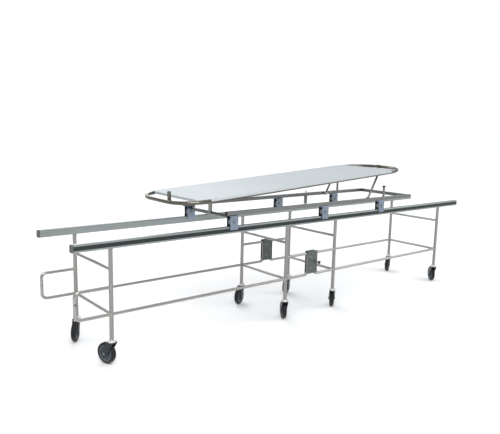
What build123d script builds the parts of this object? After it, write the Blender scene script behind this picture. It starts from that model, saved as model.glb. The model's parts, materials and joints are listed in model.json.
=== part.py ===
from build123d import *
import math
import os

# Patient transfer trolley: two carts docked end to end, a roller carriage on their rails and a tilting bed.
# Millimetres. +X runs from the left cart to the right cart, +Y to the far side, +Z up.
# The origin is on the floor, under the middle of the docked pair.

# Carts
RAIL_HEIGHT = 700.0  # rail centre line above the floor
LEG_SPAN = 1325.0  # leg to leg along one cart
TRACK = 499.0  # near legs to far legs
DOCK_OVERHANG = 243.5  # last leg to the docking end of a rail
LEFT_OVERHANG = 230.0  # first leg to the free end of the left cart, cap included
RIGHT_OVERHANG = 280.0  # the same on the right cart
DOCK_GAP = 2.0  # between butted rail ends

# Rail channel, its bumper strip and end cap
RAIL_TALL = 46.0
RAIL_WIDE = 30.0
RAIL_WALL = 2.0
RAIL_BEND = 5.0  # outer bend radius
RAIL_LIP = 11.0  # returned lip, from the rail's top or bottom to the mouth
STRIP_DEPTH = 12.0  # how far the bumper strip reaches into the channel
STRIP_BULGE = 1.5  # how far its face stands out of the channel
CAP_LENGTH = 14.0
CAP_CORNER = 8.0
CAP_DOME = 7.0
CAP_TONGUE = 30.0  # plug length inside the channel

# Frame tubes
LEG_OD = 25.0
LEG_WALL = 1.5
BRACE_OD = 19.0
BRACE_WALL = 1.2
UPPER_CROSS_HEIGHT = 558.0
LOWER_TUBE_HEIGHT = 299.0
LOOP_TOP_HEIGHT = 456.0
LOOP_SPACING = 65.0  # between the uprights of two docked loops
LOOP_BEND = 30.0

# Docking fishplates, bolts and lock pins
PLATE_THICK = 4.0
PLATE_TALL = 166.0
PLATE_LIFT = 14.0  # plate middle above the loop's middle
PLATE_EDGE = 4.0  # plate beyond the tubes it covers
PLATE_OPEN = 1.5  # clearance each side of the sliding loop
JOGGLE_MARGIN = 1.0  # bolt head to the joggle
JOGGLE = 14.0  # length of the step between the two plate widths
LEAD_IN = 6.0  # length of the flared mouth
LEAD_FLARE = 3.0  # how far the mouth flares
BOLT_DIA = 8.0
BOLT_MARGIN = 3.5  # tube to bolt
BOLT_HEAD = 13.0  # across the flats
BOLT_HEAD_TALL = 5.0
BOLT_PITCH = 80.0
HOLE_FIT = 0.2  # radial room round a fixed bolt or axle
DOCK_PIN_DIA = 10.0
DOCK_PIN_FIT = 0.4  # radial room round a sliding pin
DOCK_PIN_BITE = 2.0  # how far the tip enters the inner cheek
DOCK_PIN_BACK = 1.0  # how far the withdrawn tip stands back in its hole
DOCK_PIN_TIP = 1.0  # chamfer on the tip
GUIDE_OD = 19.0
GUIDE_LENGTH = 8.0
KNOB_DIA = 24.0
KNOB_LENGTH = 9.0
KNOB_GAP = 0.5  # locked knob to guide
KNOB_TAPER = 3.0  # slope under the knob
KNOB_EDGE = 2.0  # chamfer round its face

# Casters
WHEEL_DIA = 125.0
TYRE_WIDE = 30.0
TYRE_ROUND = 9.0
RIM_DIA = 92.0
RIM_WIDE = 26.0
RIM_DEEP = 8.0
HUB_WEB = 12.0
HUB_BOSS_DIA = 28.0
HUB_FIT = 0.6  # hub boss to fork cheek
HUB_RIBS = 8
HUB_RIB_THICK = 3.2
HUB_RIB_SUNK = 2.5  # rib below the rim's face
WHEEL_AXLE = 10.0
AXLE_HEAD_DIA = 16.0
AXLE_HEAD = 5.0
TRAIL = 40.0  # swivel axis to wheel axle
FORK_CLEAR = 3.0  # tyre to cheek
CHEEK = 3.0
AXLE_BOSS = 15.0  # cheek radius round the axle
CROWN_GAP = 6.0  # tyre to crown
CROWN = 4.0
CROWN_LENGTH = 48.0
HEAD_DIA = 46.0
HEAD_TALL = 14.0
HEAD_ROUND = 4.0
STEM_DIA = 16.0
STEM_END = 5.0  # stem tip short of the socket's top
SWIVEL_GAP = 0.5
SOCKET_FLANGE = 3.0
SOCKET_FLANGE_DIA = 31.0
SOCKET_LENGTH = 50.0
RUN_FIT = 0.05  # radial running fit

# Rest headings of the casters, degrees from +X, pointing from the stem to the wheel
HEADINGS = {
    "left_near_outer": 111.0,
    "left_near_inner": 59.0,
    "left_far_outer": -126.0,
    "left_far_inner": -152.0,
    "right_near_inner": 46.0,
    "right_near_outer": 52.0,
    "right_far_inner": -150.0,
    "right_far_outer": -152.0,
}

# Carriage
CARRIAGE_X = -748.0  # first housings, pivot post and bed hinge
MIDDLE_PITCH = 835.0  # first to second housings
RIGHT_PITCH = 640.0  # second to third housings
CARRIAGE_TRAVEL = 1000.0
BAR = 25.0
BAR_WALL = 2.0
BAR_ROUND = 3.0
BAR_TAIL = 50.0  # bar beyond the first housings
BAR_HEAD = 380.0  # bar beyond the third housings
PLUG_THICK = 4.0
PLUG_TONGUE = 18.0
HOUSING_LENGTH = 64.0
HOUSING_WALL = 2.5
HOUSING_BEND = 5.0
SKIRT_GAP = 2.5  # rail to skirt
SKIRT_DROP = 23.0  # skirt below the rail's top
HEADROOM = 14.0  # roller to housing roof
ROLLER_DIA = 54.0
ROLLER_WIDE = 26.0
ROLLER_ROUND = 3.0
ROLLER_RECESS = 4.0
ROLLER_BOSS = 22.0
ROLLER_RIM = 6.0
ROLLER_GAP = 0.3  # roller to rail
ROLLER_AXLE = 12.0
ROLLER_HEAD_DIA = 18.0
ROLLER_HEAD = 4.0
CROSS_BAR_OD = 25.0
CROSS_BAR_WALL = 1.5
CROSS_BAR_DROP = 18.0  # housing roof to cross bar axis
HEAD_BAR_INSET = 6.0  # bar end to the head cross bar
LOCK_STEP = 1133.0  # first housings to the lock pin
LOCK_PIN_DIA = 10.0
LOCK_PIN_FIT = 0.4
LOCK_HOLE_FIT = 1.5
LOCK_TRAVEL = 14.0
LOCK_LIFT = 1.0  # raised tip above the rail
LOCK_TIP = 2.0  # chamfer on the tip
LOCK_HEAD_DIA = 18.0
LOCK_HEAD = 6.0
LOCK_HEAD_ROUND = 2.0
LOCK_HEAD_GAP = 0.5
LOCK_GUIDE_OD = 28.0  # tube under the bar that guides the lock pin
LOCK_GUIDE_LIFT = 8.0  # guide above the rail

# Bed hinge, rest posts and prop
HINGE_RISE = 96.0  # hinge axis above the housings
HINGE_PIN_DIA = 14.0
HINGE_HEAD_DIA = 22.0
HINGE_HEAD = 4.0
POST_OD = 28.0
YOKE_PLATE = 6.0
YOKE_WIDE = 30.0
YOKE_DEEP = 28.0  # hinge axis to the yoke's floor
LUG_WIDE = 36.0
LUG_DIA = 28.0
LUG_GAP = 0.6  # lug to yoke cheek
REST_STEP = 1518.0  # hinge to the rest posts
REST_POST_DIA = 18.0
REST_PAD_DIA = 26.0
REST_PAD = 10.0
REST_PAD_ROUND = 2.5
REST_GAP = 0.5
PROP_STEP = 1350.0  # hinge to the prop's pivot
PROP_LEAN = 59.0  # rest angle of the prop from level, degrees
PROP_ROD = 16.0
PROP_BEND = 30.0
PROP_EYE_DIA = 28.0
PROP_EYE_LAND = 1.0  # eye wider than the rod, each side
PROP_SIDE_GAP = 2.0  # bar to eye
PROP_GAP = 0.5  # rod to bed
PROP_BOLT_DIA = 10.0
PROP_COLLAR_DIA = 17.0
PROP_COLLAR_GAP = 0.5
PROP_HEAD = 5.0

# Bed, in its own plane
TILT = 3.8  # rest angle, degrees
BED_LENGTH = 2180.0  # between the end tubes' axes
BED_WIDE = 615.0  # over all
BED_TUBE = 25.0
BED_TUBE_WALL = 1.5
BED_TAIL_CORNER = 190.0
BED_HEAD_CORNER = 250.0
BED_TAIL = 395.0  # hinge to the tail end tube's axis
BED_RISE = 25.0  # hinge axis to the tubes' plane
PANEL = 1.5
PANEL_FIT = 0.15
PANEL_TAIL_GAP = 115.0  # tail tube axis to the panel
PANEL_HEAD_GAP = 180.0  # head tube axis to the panel
PANEL_LIP = 15.0
MEMBER_WIDE = 30.0
MEMBER_TALL = 20.0
MEMBER_WALL = 1.5
MEMBERS = (-180.0, 0.0, 430.0, 860.0)  # plain cross members, from the hinge
POLE_BORE = 19.4  # takes a 19 mm infusion pole
POLE_SOCKET_WALL = 2.3
POLE_SOCKET_LONG = 64.0
POLE_SOCKET_SEAT = 1.2  # how deep the socket is coped to the end tube
TAIL_POLE_RISE = 60.0  # socket's rim above the end tube's axis
HEAD_POLE_RISE = 18.0
TAIL_POLE_SIDE = 90.0  # tail socket towards the near side from the bed's centre line
HEAD_POLE_SIDE = 10.0  # head socket towards the far side from it

CUT_PAST = 1.0  # how far a cut runs past the face it opens

# Derived places along the carts
length = LEFT_OVERHANG + RIGHT_OVERHANG + 2 * (LEG_SPAN + DOCK_OVERHANG) + DOCK_GAP
left_end = -length / 2
right_end = length / 2
dock_left = left_end + LEFT_OVERHANG + LEG_SPAN + DOCK_OVERHANG
dock_right = dock_left + DOCK_GAP
left_outer = left_end + LEFT_OVERHANG
left_inner = dock_left - DOCK_OVERHANG
right_inner = dock_right + DOCK_OVERHANG
right_outer = right_end - RIGHT_OVERHANG
half_track = TRACK / 2
rail_top = RAIL_HEIGHT + RAIL_TALL / 2
rail_bottom = RAIL_HEIGHT - RAIL_TALL / 2
rail_mouth = RAIL_TALL - 2 * RAIL_LIP
lip_inside = RAIL_WIDE / 2 - RAIL_WALL
cavity = RAIL_WIDE - RAIL_WALL - STRIP_DEPTH
SIDES = {"near": -1, "far": 1}

# Derived places on the casters
wheel_radius = WHEEL_DIA / 2
fork_inside = TYRE_WIDE + 2 * FORK_CLEAR
crown_bottom = WHEEL_DIA + CROWN_GAP
crown_top = crown_bottom + CROWN
head_top = crown_top + HEAD_TALL
leg_bottom = head_top + SWIVEL_GAP + SOCKET_FLANGE

# Derived places on the dock
loop_reach = DOCK_OVERHANG + (DOCK_GAP - LOOP_SPACING) / 2
left_loop_x = left_inner + loop_reach
right_loop_x = right_inner - loop_reach
plate_middle = (LOWER_TUBE_HEIGHT + LOOP_TOP_HEIGHT) / 2 + PLATE_LIFT
cheek_shut = BRACE_OD / 2
cheek_open = cheek_shut + PLATE_OPEN
bolt_x = left_loop_x + BRACE_OD / 2 + BOLT_DIA / 2 + BOLT_MARGIN
dock_pin_travel = 2 * cheek_open + DOCK_PIN_BITE + DOCK_PIN_BACK

# Derived places on the carriage
housing_places = {
    "left": CARRIAGE_X,
    "middle": CARRIAGE_X + MIDDLE_PITCH,
    "right": CARRIAGE_X + MIDDLE_PITCH + RIGHT_PITCH,
}
bar_left = housing_places["left"] - BAR_TAIL
bar_right = housing_places["right"] + BAR_HEAD
axle_height = rail_top + ROLLER_GAP + ROLLER_DIA / 2
housing_top = axle_height + ROLLER_DIA / 2 + HEADROOM + HOUSING_WALL
housing_wide = RAIL_WIDE + 2 * (SKIRT_GAP + HOUSING_WALL)
skirt_bottom = rail_top - SKIRT_DROP
bar_height = housing_top + BAR / 2
bar_top = housing_top + BAR
bar_inside = half_track - BAR / 2
hinge_height = housing_top + HINGE_RISE
prop_x = CARRIAGE_X + PROP_STEP
rest_post_x = CARRIAGE_X + REST_STEP
lock_y = half_track + (RAIL_WALL - STRIP_DEPTH) / 2
lock_x = CARRIAGE_X + LOCK_STEP
lock_stations = [lock_x + step * CARRIAGE_TRAVEL for step in (-1, 0, 1)]

# Derived places on the bed, measured from its hinge axis
tube_radius = BED_TUBE / 2
bed_width = BED_WIDE - 2 * (PANEL + PANEL_FIT) - BED_TUBE
bed_middle = BED_LENGTH / 2 - BED_TAIL
bed_head = BED_LENGTH - BED_TAIL
sheet_bottom = BED_RISE + tube_radius + PANEL_FIT
member_bottom = sheet_bottom - MEMBER_TALL
pole_socket_od = POLE_BORE + 2 * POLE_SOCKET_WALL
pole_inset = tube_radius + pole_socket_od / 2 - POLE_SOCKET_SEAT
tilt = math.radians(TILT)
prop_eye = PROP_ROD + 2 * PROP_EYE_LAND
prop_line = member_bottom - PROP_GAP - PROP_ROD / 2
prop_drop = hinge_height - bar_height
prop_lean = math.radians(PROP_LEAN)
prop_rise = prop_line + prop_drop * math.cos(tilt) + PROP_STEP * math.sin(tilt)
prop_length = prop_rise / math.sin(prop_lean - tilt)
prop_tip_x = PROP_STEP + prop_length * math.cos(prop_lean)
prop_tip_z = prop_length * math.sin(prop_lean) - prop_drop
prop_member = prop_tip_x * math.cos(tilt) + prop_tip_z * math.sin(tilt)
rest_top = hinge_height + member_bottom - REST_GAP


def save(name, *shapes):
    """Write one node as a group of separate solids."""
    solids = [solid for shape in shapes for solid in shape.solids()]
    export_step(Compound(solids), f"parts/{name}.step")


def ring(outside, wall):
    """Section of a round tube."""
    return Circle(outside / 2) - Circle(outside / 2 - wall)


def rod(start, end, diameter):
    """Solid round bar between two points."""
    run = Vector(*end) - Vector(*start)
    return extrude(Plane(start, z_dir=run) * Circle(diameter / 2), run.length)


def tube(start, end, outside, wall):
    """Straight round tube between two points."""
    run = Vector(*end) - Vector(*start)
    return extrude(Plane(start, z_dir=run) * ring(outside, wall), run.length)


def bent_tube(points, bend, section):
    """Section swept along straight runs with round bends."""
    path = FilletPolyline(*points, radius=bend)
    return sweep(Plane(path @ 0, z_dir=path % 0) * section, path=path)


def square_tube(side, wall, corner):
    """Section of a square tube."""
    return RectangleRounded(side, side, corner) - Rectangle(side - 2 * wall, side - 2 * wall)


# Rails, bumpers and caps


def rail_room():
    """Section of the room inside a rail's walls."""
    return RectangleRounded(RAIL_WIDE - 2 * RAIL_WALL, RAIL_TALL - 2 * RAIL_WALL, RAIL_BEND - RAIL_WALL)


def rail(side, start, end):
    """Lipped channel with its mouth outwards, drilled for the carriage lock on the far side."""
    section = RectangleRounded(RAIL_WIDE, RAIL_TALL, RAIL_BEND) - rail_room()
    section -= Pos(side * RAIL_WIDE / 2) * Rectangle(2 * RAIL_WALL, rail_mouth)
    beam = extrude(Plane.YZ * section, end - start)
    beam = Pos(start, side * half_track, RAIL_HEIGHT) * beam
    if side == SIDES["far"]:
        hole = LOCK_PIN_DIA + 2 * LOCK_HOLE_FIT
        for x in lock_stations:
            beam -= rod((x, lock_y, RAIL_HEIGHT), (x, lock_y, rail_top + CUT_PAST), hole)
    return beam


def bumper_strip(side, start, end):
    """Strip whose base sits behind the rail's lips and whose bowed face fills the mouth."""
    half = rail_mouth / 2
    face = side * RAIL_WIDE / 2
    neck = side * lip_inside
    base_deep = STRIP_DEPTH - RAIL_WALL
    outline = Polyline((face, half), (neck, half), (neck, -half), (face, -half))
    outline += ThreePointArc((face, -half), (face + side * STRIP_BULGE, 0), (face, half))
    base = rail_room() & Pos(neck - side * base_deep / 2) * Rectangle(base_deep, RAIL_TALL)
    strip = extrude(Plane.YZ * (make_face(outline) + base), end - start)
    return Pos(start, side * half_track, RAIL_HEIGHT) * strip


def rail_cap(side, direction, end):
    """Domed end cap whose tongue plugs the channel behind the strip."""
    cap = extrude(Plane.YZ * RectangleRounded(RAIL_WIDE, RAIL_TALL, CAP_CORNER), CAP_LENGTH)
    cap = fillet(cap.faces().sort_by(Axis.X)[-1].edges(), CAP_DOME)
    tongue_y = direction * side * (RAIL_WALL - STRIP_DEPTH) / 2
    cap += Pos(-CAP_TONGUE / 2, tongue_y) * Box(CAP_TONGUE, cavity, RAIL_TALL - 2 * RAIL_BEND)
    turn = 0 if direction > 0 else 180
    return Pos(end - direction * CAP_LENGTH, side * half_track, RAIL_HEIGHT) * Rot(0, 0, turn) * cap


# Legs and braces


def leg_posts(xs):
    """Solid cylinders where the legs stand, used to cope the braces."""
    ys = (-half_track, half_track)
    return [rod((x, y, leg_bottom), (x, y, rail_bottom), LEG_OD) for x in xs for y in ys]


def pin_drill():
    """Cross hole for a dock lock pin, centred on the loop's upright."""
    reach = 4 * (cheek_open + PLATE_THICK + GUIDE_LENGTH)
    return Rot(90, 0, 0) * Cylinder(DOCK_PIN_DIA / 2 + DOCK_PIN_FIT, reach)


def legs(xs):
    """Leg tubes from the caster sockets to the rails."""
    ys = (-half_track, half_track)
    return [tube((x, y, leg_bottom), (x, y, rail_bottom), LEG_OD, LEG_WALL) for x in xs for y in ys]


def cross_tubes(xs):
    """Upper and lower tubes across each leg pair, coped to the legs."""
    heights = (LOWER_TUBE_HEIGHT, UPPER_CROSS_HEIGHT)
    ends = [((x, -half_track, z), (x, half_track, z)) for x in xs for z in heights]
    return [tube(near, far, BRACE_OD, BRACE_WALL) - leg_posts(xs) for near, far in ends]


def lower_crosses(xs):
    """Solid bars where the lower cross tubes lie, used to trim what meets them."""
    z = LOWER_TUBE_HEIGHT
    return [rod((x, -half_track, z), (x, half_track, z), BRACE_OD) for x in xs]


def side_tubes(xs):
    """Long lower tubes along both sides of a cart."""
    z = LOWER_TUBE_HEIGHT
    tubes = [tube((xs[0], y, z), (xs[1], y, z), BRACE_OD, BRACE_WALL) for y in (-half_track, half_track)]
    return [run - leg_posts(xs) - lower_crosses(xs) for run in tubes]


def dock_loop(x, direction, side):
    """Bent tube loop that stands out from a leg, drilled across its upright for a lock pin."""
    y = side * half_track
    tip = x + direction * loop_reach
    low = LOWER_TUBE_HEIGHT
    high = LOOP_TOP_HEIGHT
    points = [(x, y, low), (tip, y, low), (tip, y, high), (x, y, high)]
    loop = bent_tube(points, LOOP_BEND, ring(BRACE_OD, BRACE_WALL))
    loop -= Pos(tip, y, plate_middle) * pin_drill()
    return loop - leg_posts([x]) - lower_crosses([x])


def caster_sockets(xs):
    """Flanged bushes pressed into the leg ends."""
    bush = Pos(0, 0, -SOCKET_FLANGE / 2) * Cylinder(SOCKET_FLANGE_DIA / 2, SOCKET_FLANGE)
    bush += Pos(0, 0, SOCKET_LENGTH / 2) * Cylinder(LEG_OD / 2 - LEG_WALL, SOCKET_LENGTH)
    bush -= Cylinder(STEM_DIA / 2 + RUN_FIT, 3 * SOCKET_LENGTH)
    return [Pos(x, y, leg_bottom) * bush for x in xs for y in (-half_track, half_track)]


def write_cart(name, xs, rail_start, rail_end, cap_direction, loops):
    """Write the fixed nodes of one cart."""
    cap_end = rail_start if cap_direction < 0 else rail_end
    start = rail_start + (CAP_LENGTH if cap_direction < 0 else 0)
    end = rail_end - (CAP_LENGTH if cap_direction > 0 else 0)
    save(f"{name}_rails", *[rail(side, start, end) for side in SIDES.values()])
    strips = [bumper_strip(side, start, end) for side in SIDES.values()]
    caps = [rail_cap(side, cap_direction, cap_end) for side in SIDES.values()]
    save(f"{name}_bumpers", *strips, *caps)
    save(f"{name}_legs", *legs(xs), *caster_sockets(xs))
    save(f"{name}_brace_tubes", *cross_tubes(xs), *side_tubes(xs))
    dock_loops = [dock_loop(x, direction, side) for x, direction in loops for side in SIDES.values()]
    save(f"{name}_dock_loops", *dock_loops)


# Dock


def dock_holes():
    """Bolt and pin holes through a fishplate, along Y in the plate's own frame."""
    drill = Rot(90, 0, 0) * Cylinder(BOLT_DIA / 2 + HOLE_FIT, 4 * (cheek_open + PLATE_THICK))
    bolt_holes = [Pos(bolt_x, 0, row * BOLT_PITCH / 2) * drill for row in (-1, 1)]
    return bolt_holes + [Pos(right_loop_x, 0, 0) * pin_drill()]


def fishplate(face):
    """Joggled cheek: tight on the left loop, open round the right one, flared at the mouth."""
    back = left_loop_x - BRACE_OD / 2 - PLATE_EDGE
    step = bolt_x + BOLT_HEAD / 2 + JOGGLE_MARGIN
    mouth = right_loop_x + BRACE_OD / 2
    inner = [
        (back, cheek_shut),
        (step, cheek_shut),
        (step + JOGGLE, cheek_open),
        (mouth, cheek_open),
        (mouth + LEAD_IN, cheek_open + LEAD_FLARE),
    ]
    outer = [(x, y + PLATE_THICK) for x, y in reversed(inner)]
    outline = Polygon(*inner, *outer, align=None)
    plate = Pos(0, 0, -PLATE_TALL / 2) * extrude(outline, PLATE_TALL)
    return plate if face > 0 else mirror(plate, Plane.XZ)


def dock_cheeks(side):
    """Both cheeks of one dock, with the pin guide on the outer one."""
    outer = fishplate(side)
    inner = fishplate(-side)
    guide_y = side * (cheek_open + PLATE_THICK + GUIDE_LENGTH / 2)
    outer += Pos(right_loop_x, guide_y, 0) * Rot(90, 0, 0) * Cylinder(GUIDE_OD / 2, GUIDE_LENGTH)
    place = Pos(0, side * half_track, plate_middle)
    return [place * (cheek - dock_holes()) for cheek in (outer, inner)]


def dock_bolts(side):
    """Through bolts that clamp both cheeks on the left loop."""
    grip = 2 * (cheek_shut + PLATE_THICK)
    head = extrude(RegularPolygon(BOLT_HEAD / 2, 6, major_radius=False), BOLT_HEAD_TALL)
    bolt = Cylinder(BOLT_DIA / 2, grip)
    bolt += Pos(0, 0, grip / 2) * head
    bolt += Pos(0, 0, -grip / 2 - BOLT_HEAD_TALL) * head
    bolt = Rot(90, 0, 0) * bolt
    heights = [plate_middle + row * BOLT_PITCH / 2 for row in (-1, 1)]
    return [Pos(bolt_x, side * half_track, z) * bolt for z in heights]


def dock_pin(side):
    """Lock pin, drawn back so that the right loop can leave, with a tapered knob."""
    tip = cheek_open + DOCK_PIN_BACK
    shoulder = cheek_open + PLATE_THICK + GUIDE_LENGTH + KNOB_GAP + dock_pin_travel
    profile = Polyline(
        (0, tip),
        (DOCK_PIN_DIA / 2 - DOCK_PIN_TIP, tip),
        (DOCK_PIN_DIA / 2, tip + DOCK_PIN_TIP),
        (DOCK_PIN_DIA / 2, shoulder),
        (KNOB_DIA / 2 - KNOB_TAPER, shoulder),
        (KNOB_DIA / 2, shoulder + KNOB_TAPER),
        (KNOB_DIA / 2, shoulder + KNOB_LENGTH - KNOB_EDGE),
        (KNOB_DIA / 2 - KNOB_EDGE, shoulder + KNOB_LENGTH),
        (0, shoulder + KNOB_LENGTH),
        close=True,
    )
    pin = revolve(make_face(profile), Axis.Y)
    if side < 0:
        pin = mirror(pin, Plane.XZ)
    return Pos(right_loop_x, side * half_track, plate_middle) * pin


# Casters


def caster_fork():
    """Pressed fork, swivel head and stem, with its axle bolt, swivel axis on Z."""
    boss = Pos(TRAIL, wheel_radius) * Circle(AXLE_BOSS)
    top = Pos(CROWN_LENGTH / 2 - HEAD_DIA / 2, crown_bottom + CROWN / 2) * Rectangle(CROWN_LENGTH, CROWN)
    side_shape = make_hull(boss.edges() + top.edges())
    side_shape -= Pos(TRAIL, wheel_radius) * Circle(WHEEL_AXLE / 2 + HOLE_FIT)
    cheek = extrude(Plane.XZ.offset(fork_inside / 2) * side_shape, CHEEK)
    crown = Box(CROWN_LENGTH, fork_inside + 2 * CHEEK, CROWN)
    crown = Pos(CROWN_LENGTH / 2 - HEAD_DIA / 2, 0, crown_bottom + CROWN / 2) * crown
    head = Pos(0, 0, crown_top + HEAD_TALL / 2) * Cylinder(HEAD_DIA / 2, HEAD_TALL)
    head = fillet(head.faces().sort_by(Axis.Z)[-1].edges(), HEAD_ROUND)
    stem = rod((0, 0, crown_top), (0, 0, leg_bottom + SOCKET_LENGTH - STEM_END), STEM_DIA)
    return cheek + mirror(cheek, Plane.XZ) + crown + head + stem


def wheel_bolt():
    """Axle bolt across the fork."""
    grip = fork_inside + 2 * CHEEK
    bolt = Cylinder(WHEEL_AXLE / 2, grip)
    for end in (-1, 1):
        bolt += Pos(0, 0, end * (grip + AXLE_HEAD) / 2) * Cylinder(AXLE_HEAD_DIA / 2, AXLE_HEAD)
    return Pos(TRAIL, 0, wheel_radius) * Rot(90, 0, 0) * bolt


def tyre():
    """Rounded tread on the rim."""
    deep = (WHEEL_DIA - RIM_DIA) / 2
    section = Pos(RIM_DIA / 2 + deep / 2, 0) * Rectangle(deep, TYRE_WIDE)
    section = fillet(section.vertices().group_by(Axis.X)[-1], TYRE_ROUND)
    return Pos(TRAIL, 0, wheel_radius) * revolve(section, Axis.Y)


def hub():
    """Rim, web and boss of the wheel, with ribs on both faces of the web."""
    bore = WHEEL_AXLE / 2 + RUN_FIT
    rim_in = RIM_DIA / 2 - RIM_DEEP
    boss_out = HUB_BOSS_DIA / 2
    section = Pos((bore + boss_out) / 2, 0) * Rectangle(boss_out - bore, fork_inside - 2 * HUB_FIT)
    section += Pos((boss_out + rim_in) / 2, 0) * Rectangle(rim_in - boss_out, HUB_WEB)
    section += Pos((rim_in + RIM_DIA / 2) / 2, 0) * Rectangle(RIM_DEEP, RIM_WIDE)
    wheel = revolve(section, Axis.Y)
    rib_start = (bore + boss_out) / 2
    rib_end = rim_in + RIM_DEEP / 2
    rib = Box(rib_end - rib_start, RIM_WIDE - 2 * HUB_RIB_SUNK, HUB_RIB_THICK)
    for count in range(HUB_RIBS):
        wheel += Rot(0, 360 * count / HUB_RIBS, 0) * Pos((rib_start + rib_end) / 2, 0, 0) * rib
    return Pos(TRAIL, 0, wheel_radius) * wheel


def write_casters():
    """Write fork, tyre and hub nodes at every leg."""
    leg_x = {
        "left_outer": left_outer,
        "left_inner": left_inner,
        "right_inner": right_inner,
        "right_outer": right_outer,
    }
    pieces = {"fork": [caster_fork(), wheel_bolt()], "tyre": [tyre()], "hub": [hub()]}
    for name, heading in HEADINGS.items():
        cart, side, corner = name.split("_")
        place = Pos(leg_x[f"{cart}_{corner}"], SIDES[side] * half_track, 0) * Rot(0, 0, heading)
        for piece, shapes in pieces.items():
            save(f"{name}_{piece}", *[place * shape for shape in shapes])


# Carriage


def side_bar(side):
    """Square tube over a rail, drilled for the lock pin on the far side."""
    bar = extrude(Plane.YZ * square_tube(BAR, BAR_WALL, BAR_ROUND), bar_right - bar_left)
    bar = Pos(bar_left, side * half_track, bar_height) * bar
    if side == SIDES["far"]:
        low = (lock_x, lock_y, housing_top - CUT_PAST)
        bar -= rod(low, (lock_x, lock_y, bar_top + CUT_PAST), LOCK_PIN_DIA + 2 * LOCK_PIN_FIT)
    return bar


def bar_plug(side, end):
    """Moulded plug in an open end of a side bar."""
    cap = extrude(Plane.YZ * RectangleRounded(BAR, BAR, BAR_ROUND), PLUG_THICK)
    inside = BAR - 2 * BAR_WALL
    cap += Pos(-PLUG_TONGUE / 2) * Box(PLUG_TONGUE, inside, inside)
    x = bar_right if end > 0 else bar_left
    return Pos(x, side * half_track, bar_height) * Rot(0, 0, 0 if end > 0 else 180) * cap


def roller_housing(x, side):
    """Folded channel that straddles the rail, open below and at both ends."""
    tall = housing_top - skirt_bottom
    section = Pos(0, tall / 2) * Rectangle(housing_wide, tall)
    section = fillet(section.vertices().group_by(Axis.Y)[-1], HOUSING_BEND)
    room_tall = tall - HOUSING_WALL
    room = Pos(0, room_tall / 2) * Rectangle(housing_wide - 2 * HOUSING_WALL, room_tall)
    room = fillet(room.vertices().group_by(Axis.Y)[-1], HOUSING_BEND - HOUSING_WALL)
    shell = extrude(Plane.YZ * (section - room), HOUSING_LENGTH)
    shell = Pos(x - HOUSING_LENGTH / 2, side * half_track, skirt_bottom) * shell
    hole = Rot(90, 0, 0) * Cylinder(ROLLER_AXLE / 2 + HOLE_FIT, 2 * housing_wide)
    return shell - Pos(x, side * half_track, axle_height) * hole


def roller_axle(x, side):
    """Headed axle across a housing."""
    axle = Cylinder(ROLLER_AXLE / 2, housing_wide)
    head = Cylinder(ROLLER_HEAD_DIA / 2, ROLLER_HEAD)
    for end in (-1, 1):
        axle += Pos(0, 0, end * (housing_wide + ROLLER_HEAD) / 2) * head
    return Pos(x, side * half_track, axle_height) * Rot(90, 0, 0) * axle


def roller(x, side):
    """Recessed roller with rounded tread edges."""
    bore = ROLLER_AXLE / 2 + RUN_FIT
    outside = ROLLER_DIA / 2
    section = Pos((bore + outside) / 2, 0) * Rectangle(outside - bore, ROLLER_WIDE)
    section = fillet(section.vertices().group_by(Axis.X)[-1], ROLLER_ROUND)
    dish_in = ROLLER_BOSS / 2
    dish_out = outside - ROLLER_RIM
    for end in (-1, 1):
        dish_y = end * (ROLLER_WIDE - ROLLER_RECESS) / 2
        section -= Pos((dish_in + dish_out) / 2, dish_y) * Rectangle(dish_out - dish_in, ROLLER_RECESS)
    return Pos(x, side * half_track, axle_height) * revolve(section, Axis.Y)


def pivot_cross_bar():
    """Round tube between the first housings."""
    half = half_track - housing_wide / 2
    z = housing_top - CROSS_BAR_DROP
    return tube((CARRIAGE_X, -half, z), (CARRIAGE_X, half, z), CROSS_BAR_OD, CROSS_BAR_WALL)


def head_cross_bar():
    """Square tube between the side bars at the head end."""
    section = square_tube(BAR, BAR_WALL, BAR_ROUND)
    bar = extrude(Plane.XZ * section, bar_inside, both=True)
    return Pos(bar_right - BAR / 2 - HEAD_BAR_INSET, 0, bar_height) * bar


def pivot_post():
    """Post on the cross bar, ending in the yoke that carries the bed hinge."""
    inside = LUG_WIDE / 2 + LUG_GAP
    floor = hinge_height - YOKE_DEEP
    cross_z = housing_top - CROSS_BAR_DROP
    post = rod((CARRIAGE_X, 0, cross_z), (CARRIAGE_X, 0, floor), POST_OD)
    post -= rod((CARRIAGE_X, -POST_OD, cross_z), (CARRIAGE_X, POST_OD, cross_z), CROSS_BAR_OD)
    base = Box(YOKE_WIDE, 2 * (inside + YOKE_PLATE), YOKE_PLATE)
    post += Pos(CARRIAGE_X, 0, floor - YOKE_PLATE / 2) * base
    ear = Circle(YOKE_WIDE / 2) + Pos(0, -YOKE_DEEP / 2) * Rectangle(YOKE_WIDE, YOKE_DEEP)
    ear -= Circle(HINGE_PIN_DIA / 2 + HOLE_FIT)
    cheek = extrude(Plane.XZ.offset(inside) * ear, YOKE_PLATE)
    post += Pos(CARRIAGE_X, 0, hinge_height) * cheek
    post += Pos(CARRIAGE_X, 0, hinge_height) * mirror(cheek, Plane.XZ)
    return post


def hinge_pin():
    """Headed pin across the yoke."""
    grip = LUG_WIDE + 2 * (LUG_GAP + YOKE_PLATE)
    pin = Cylinder(HINGE_PIN_DIA / 2, grip)
    for end in (-1, 1):
        pin += Pos(0, 0, end * (grip + HINGE_HEAD) / 2) * Cylinder(HINGE_HEAD_DIA / 2, HINGE_HEAD)
    return Pos(CARRIAGE_X, 0, hinge_height) * Rot(90, 0, 0) * pin


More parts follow.
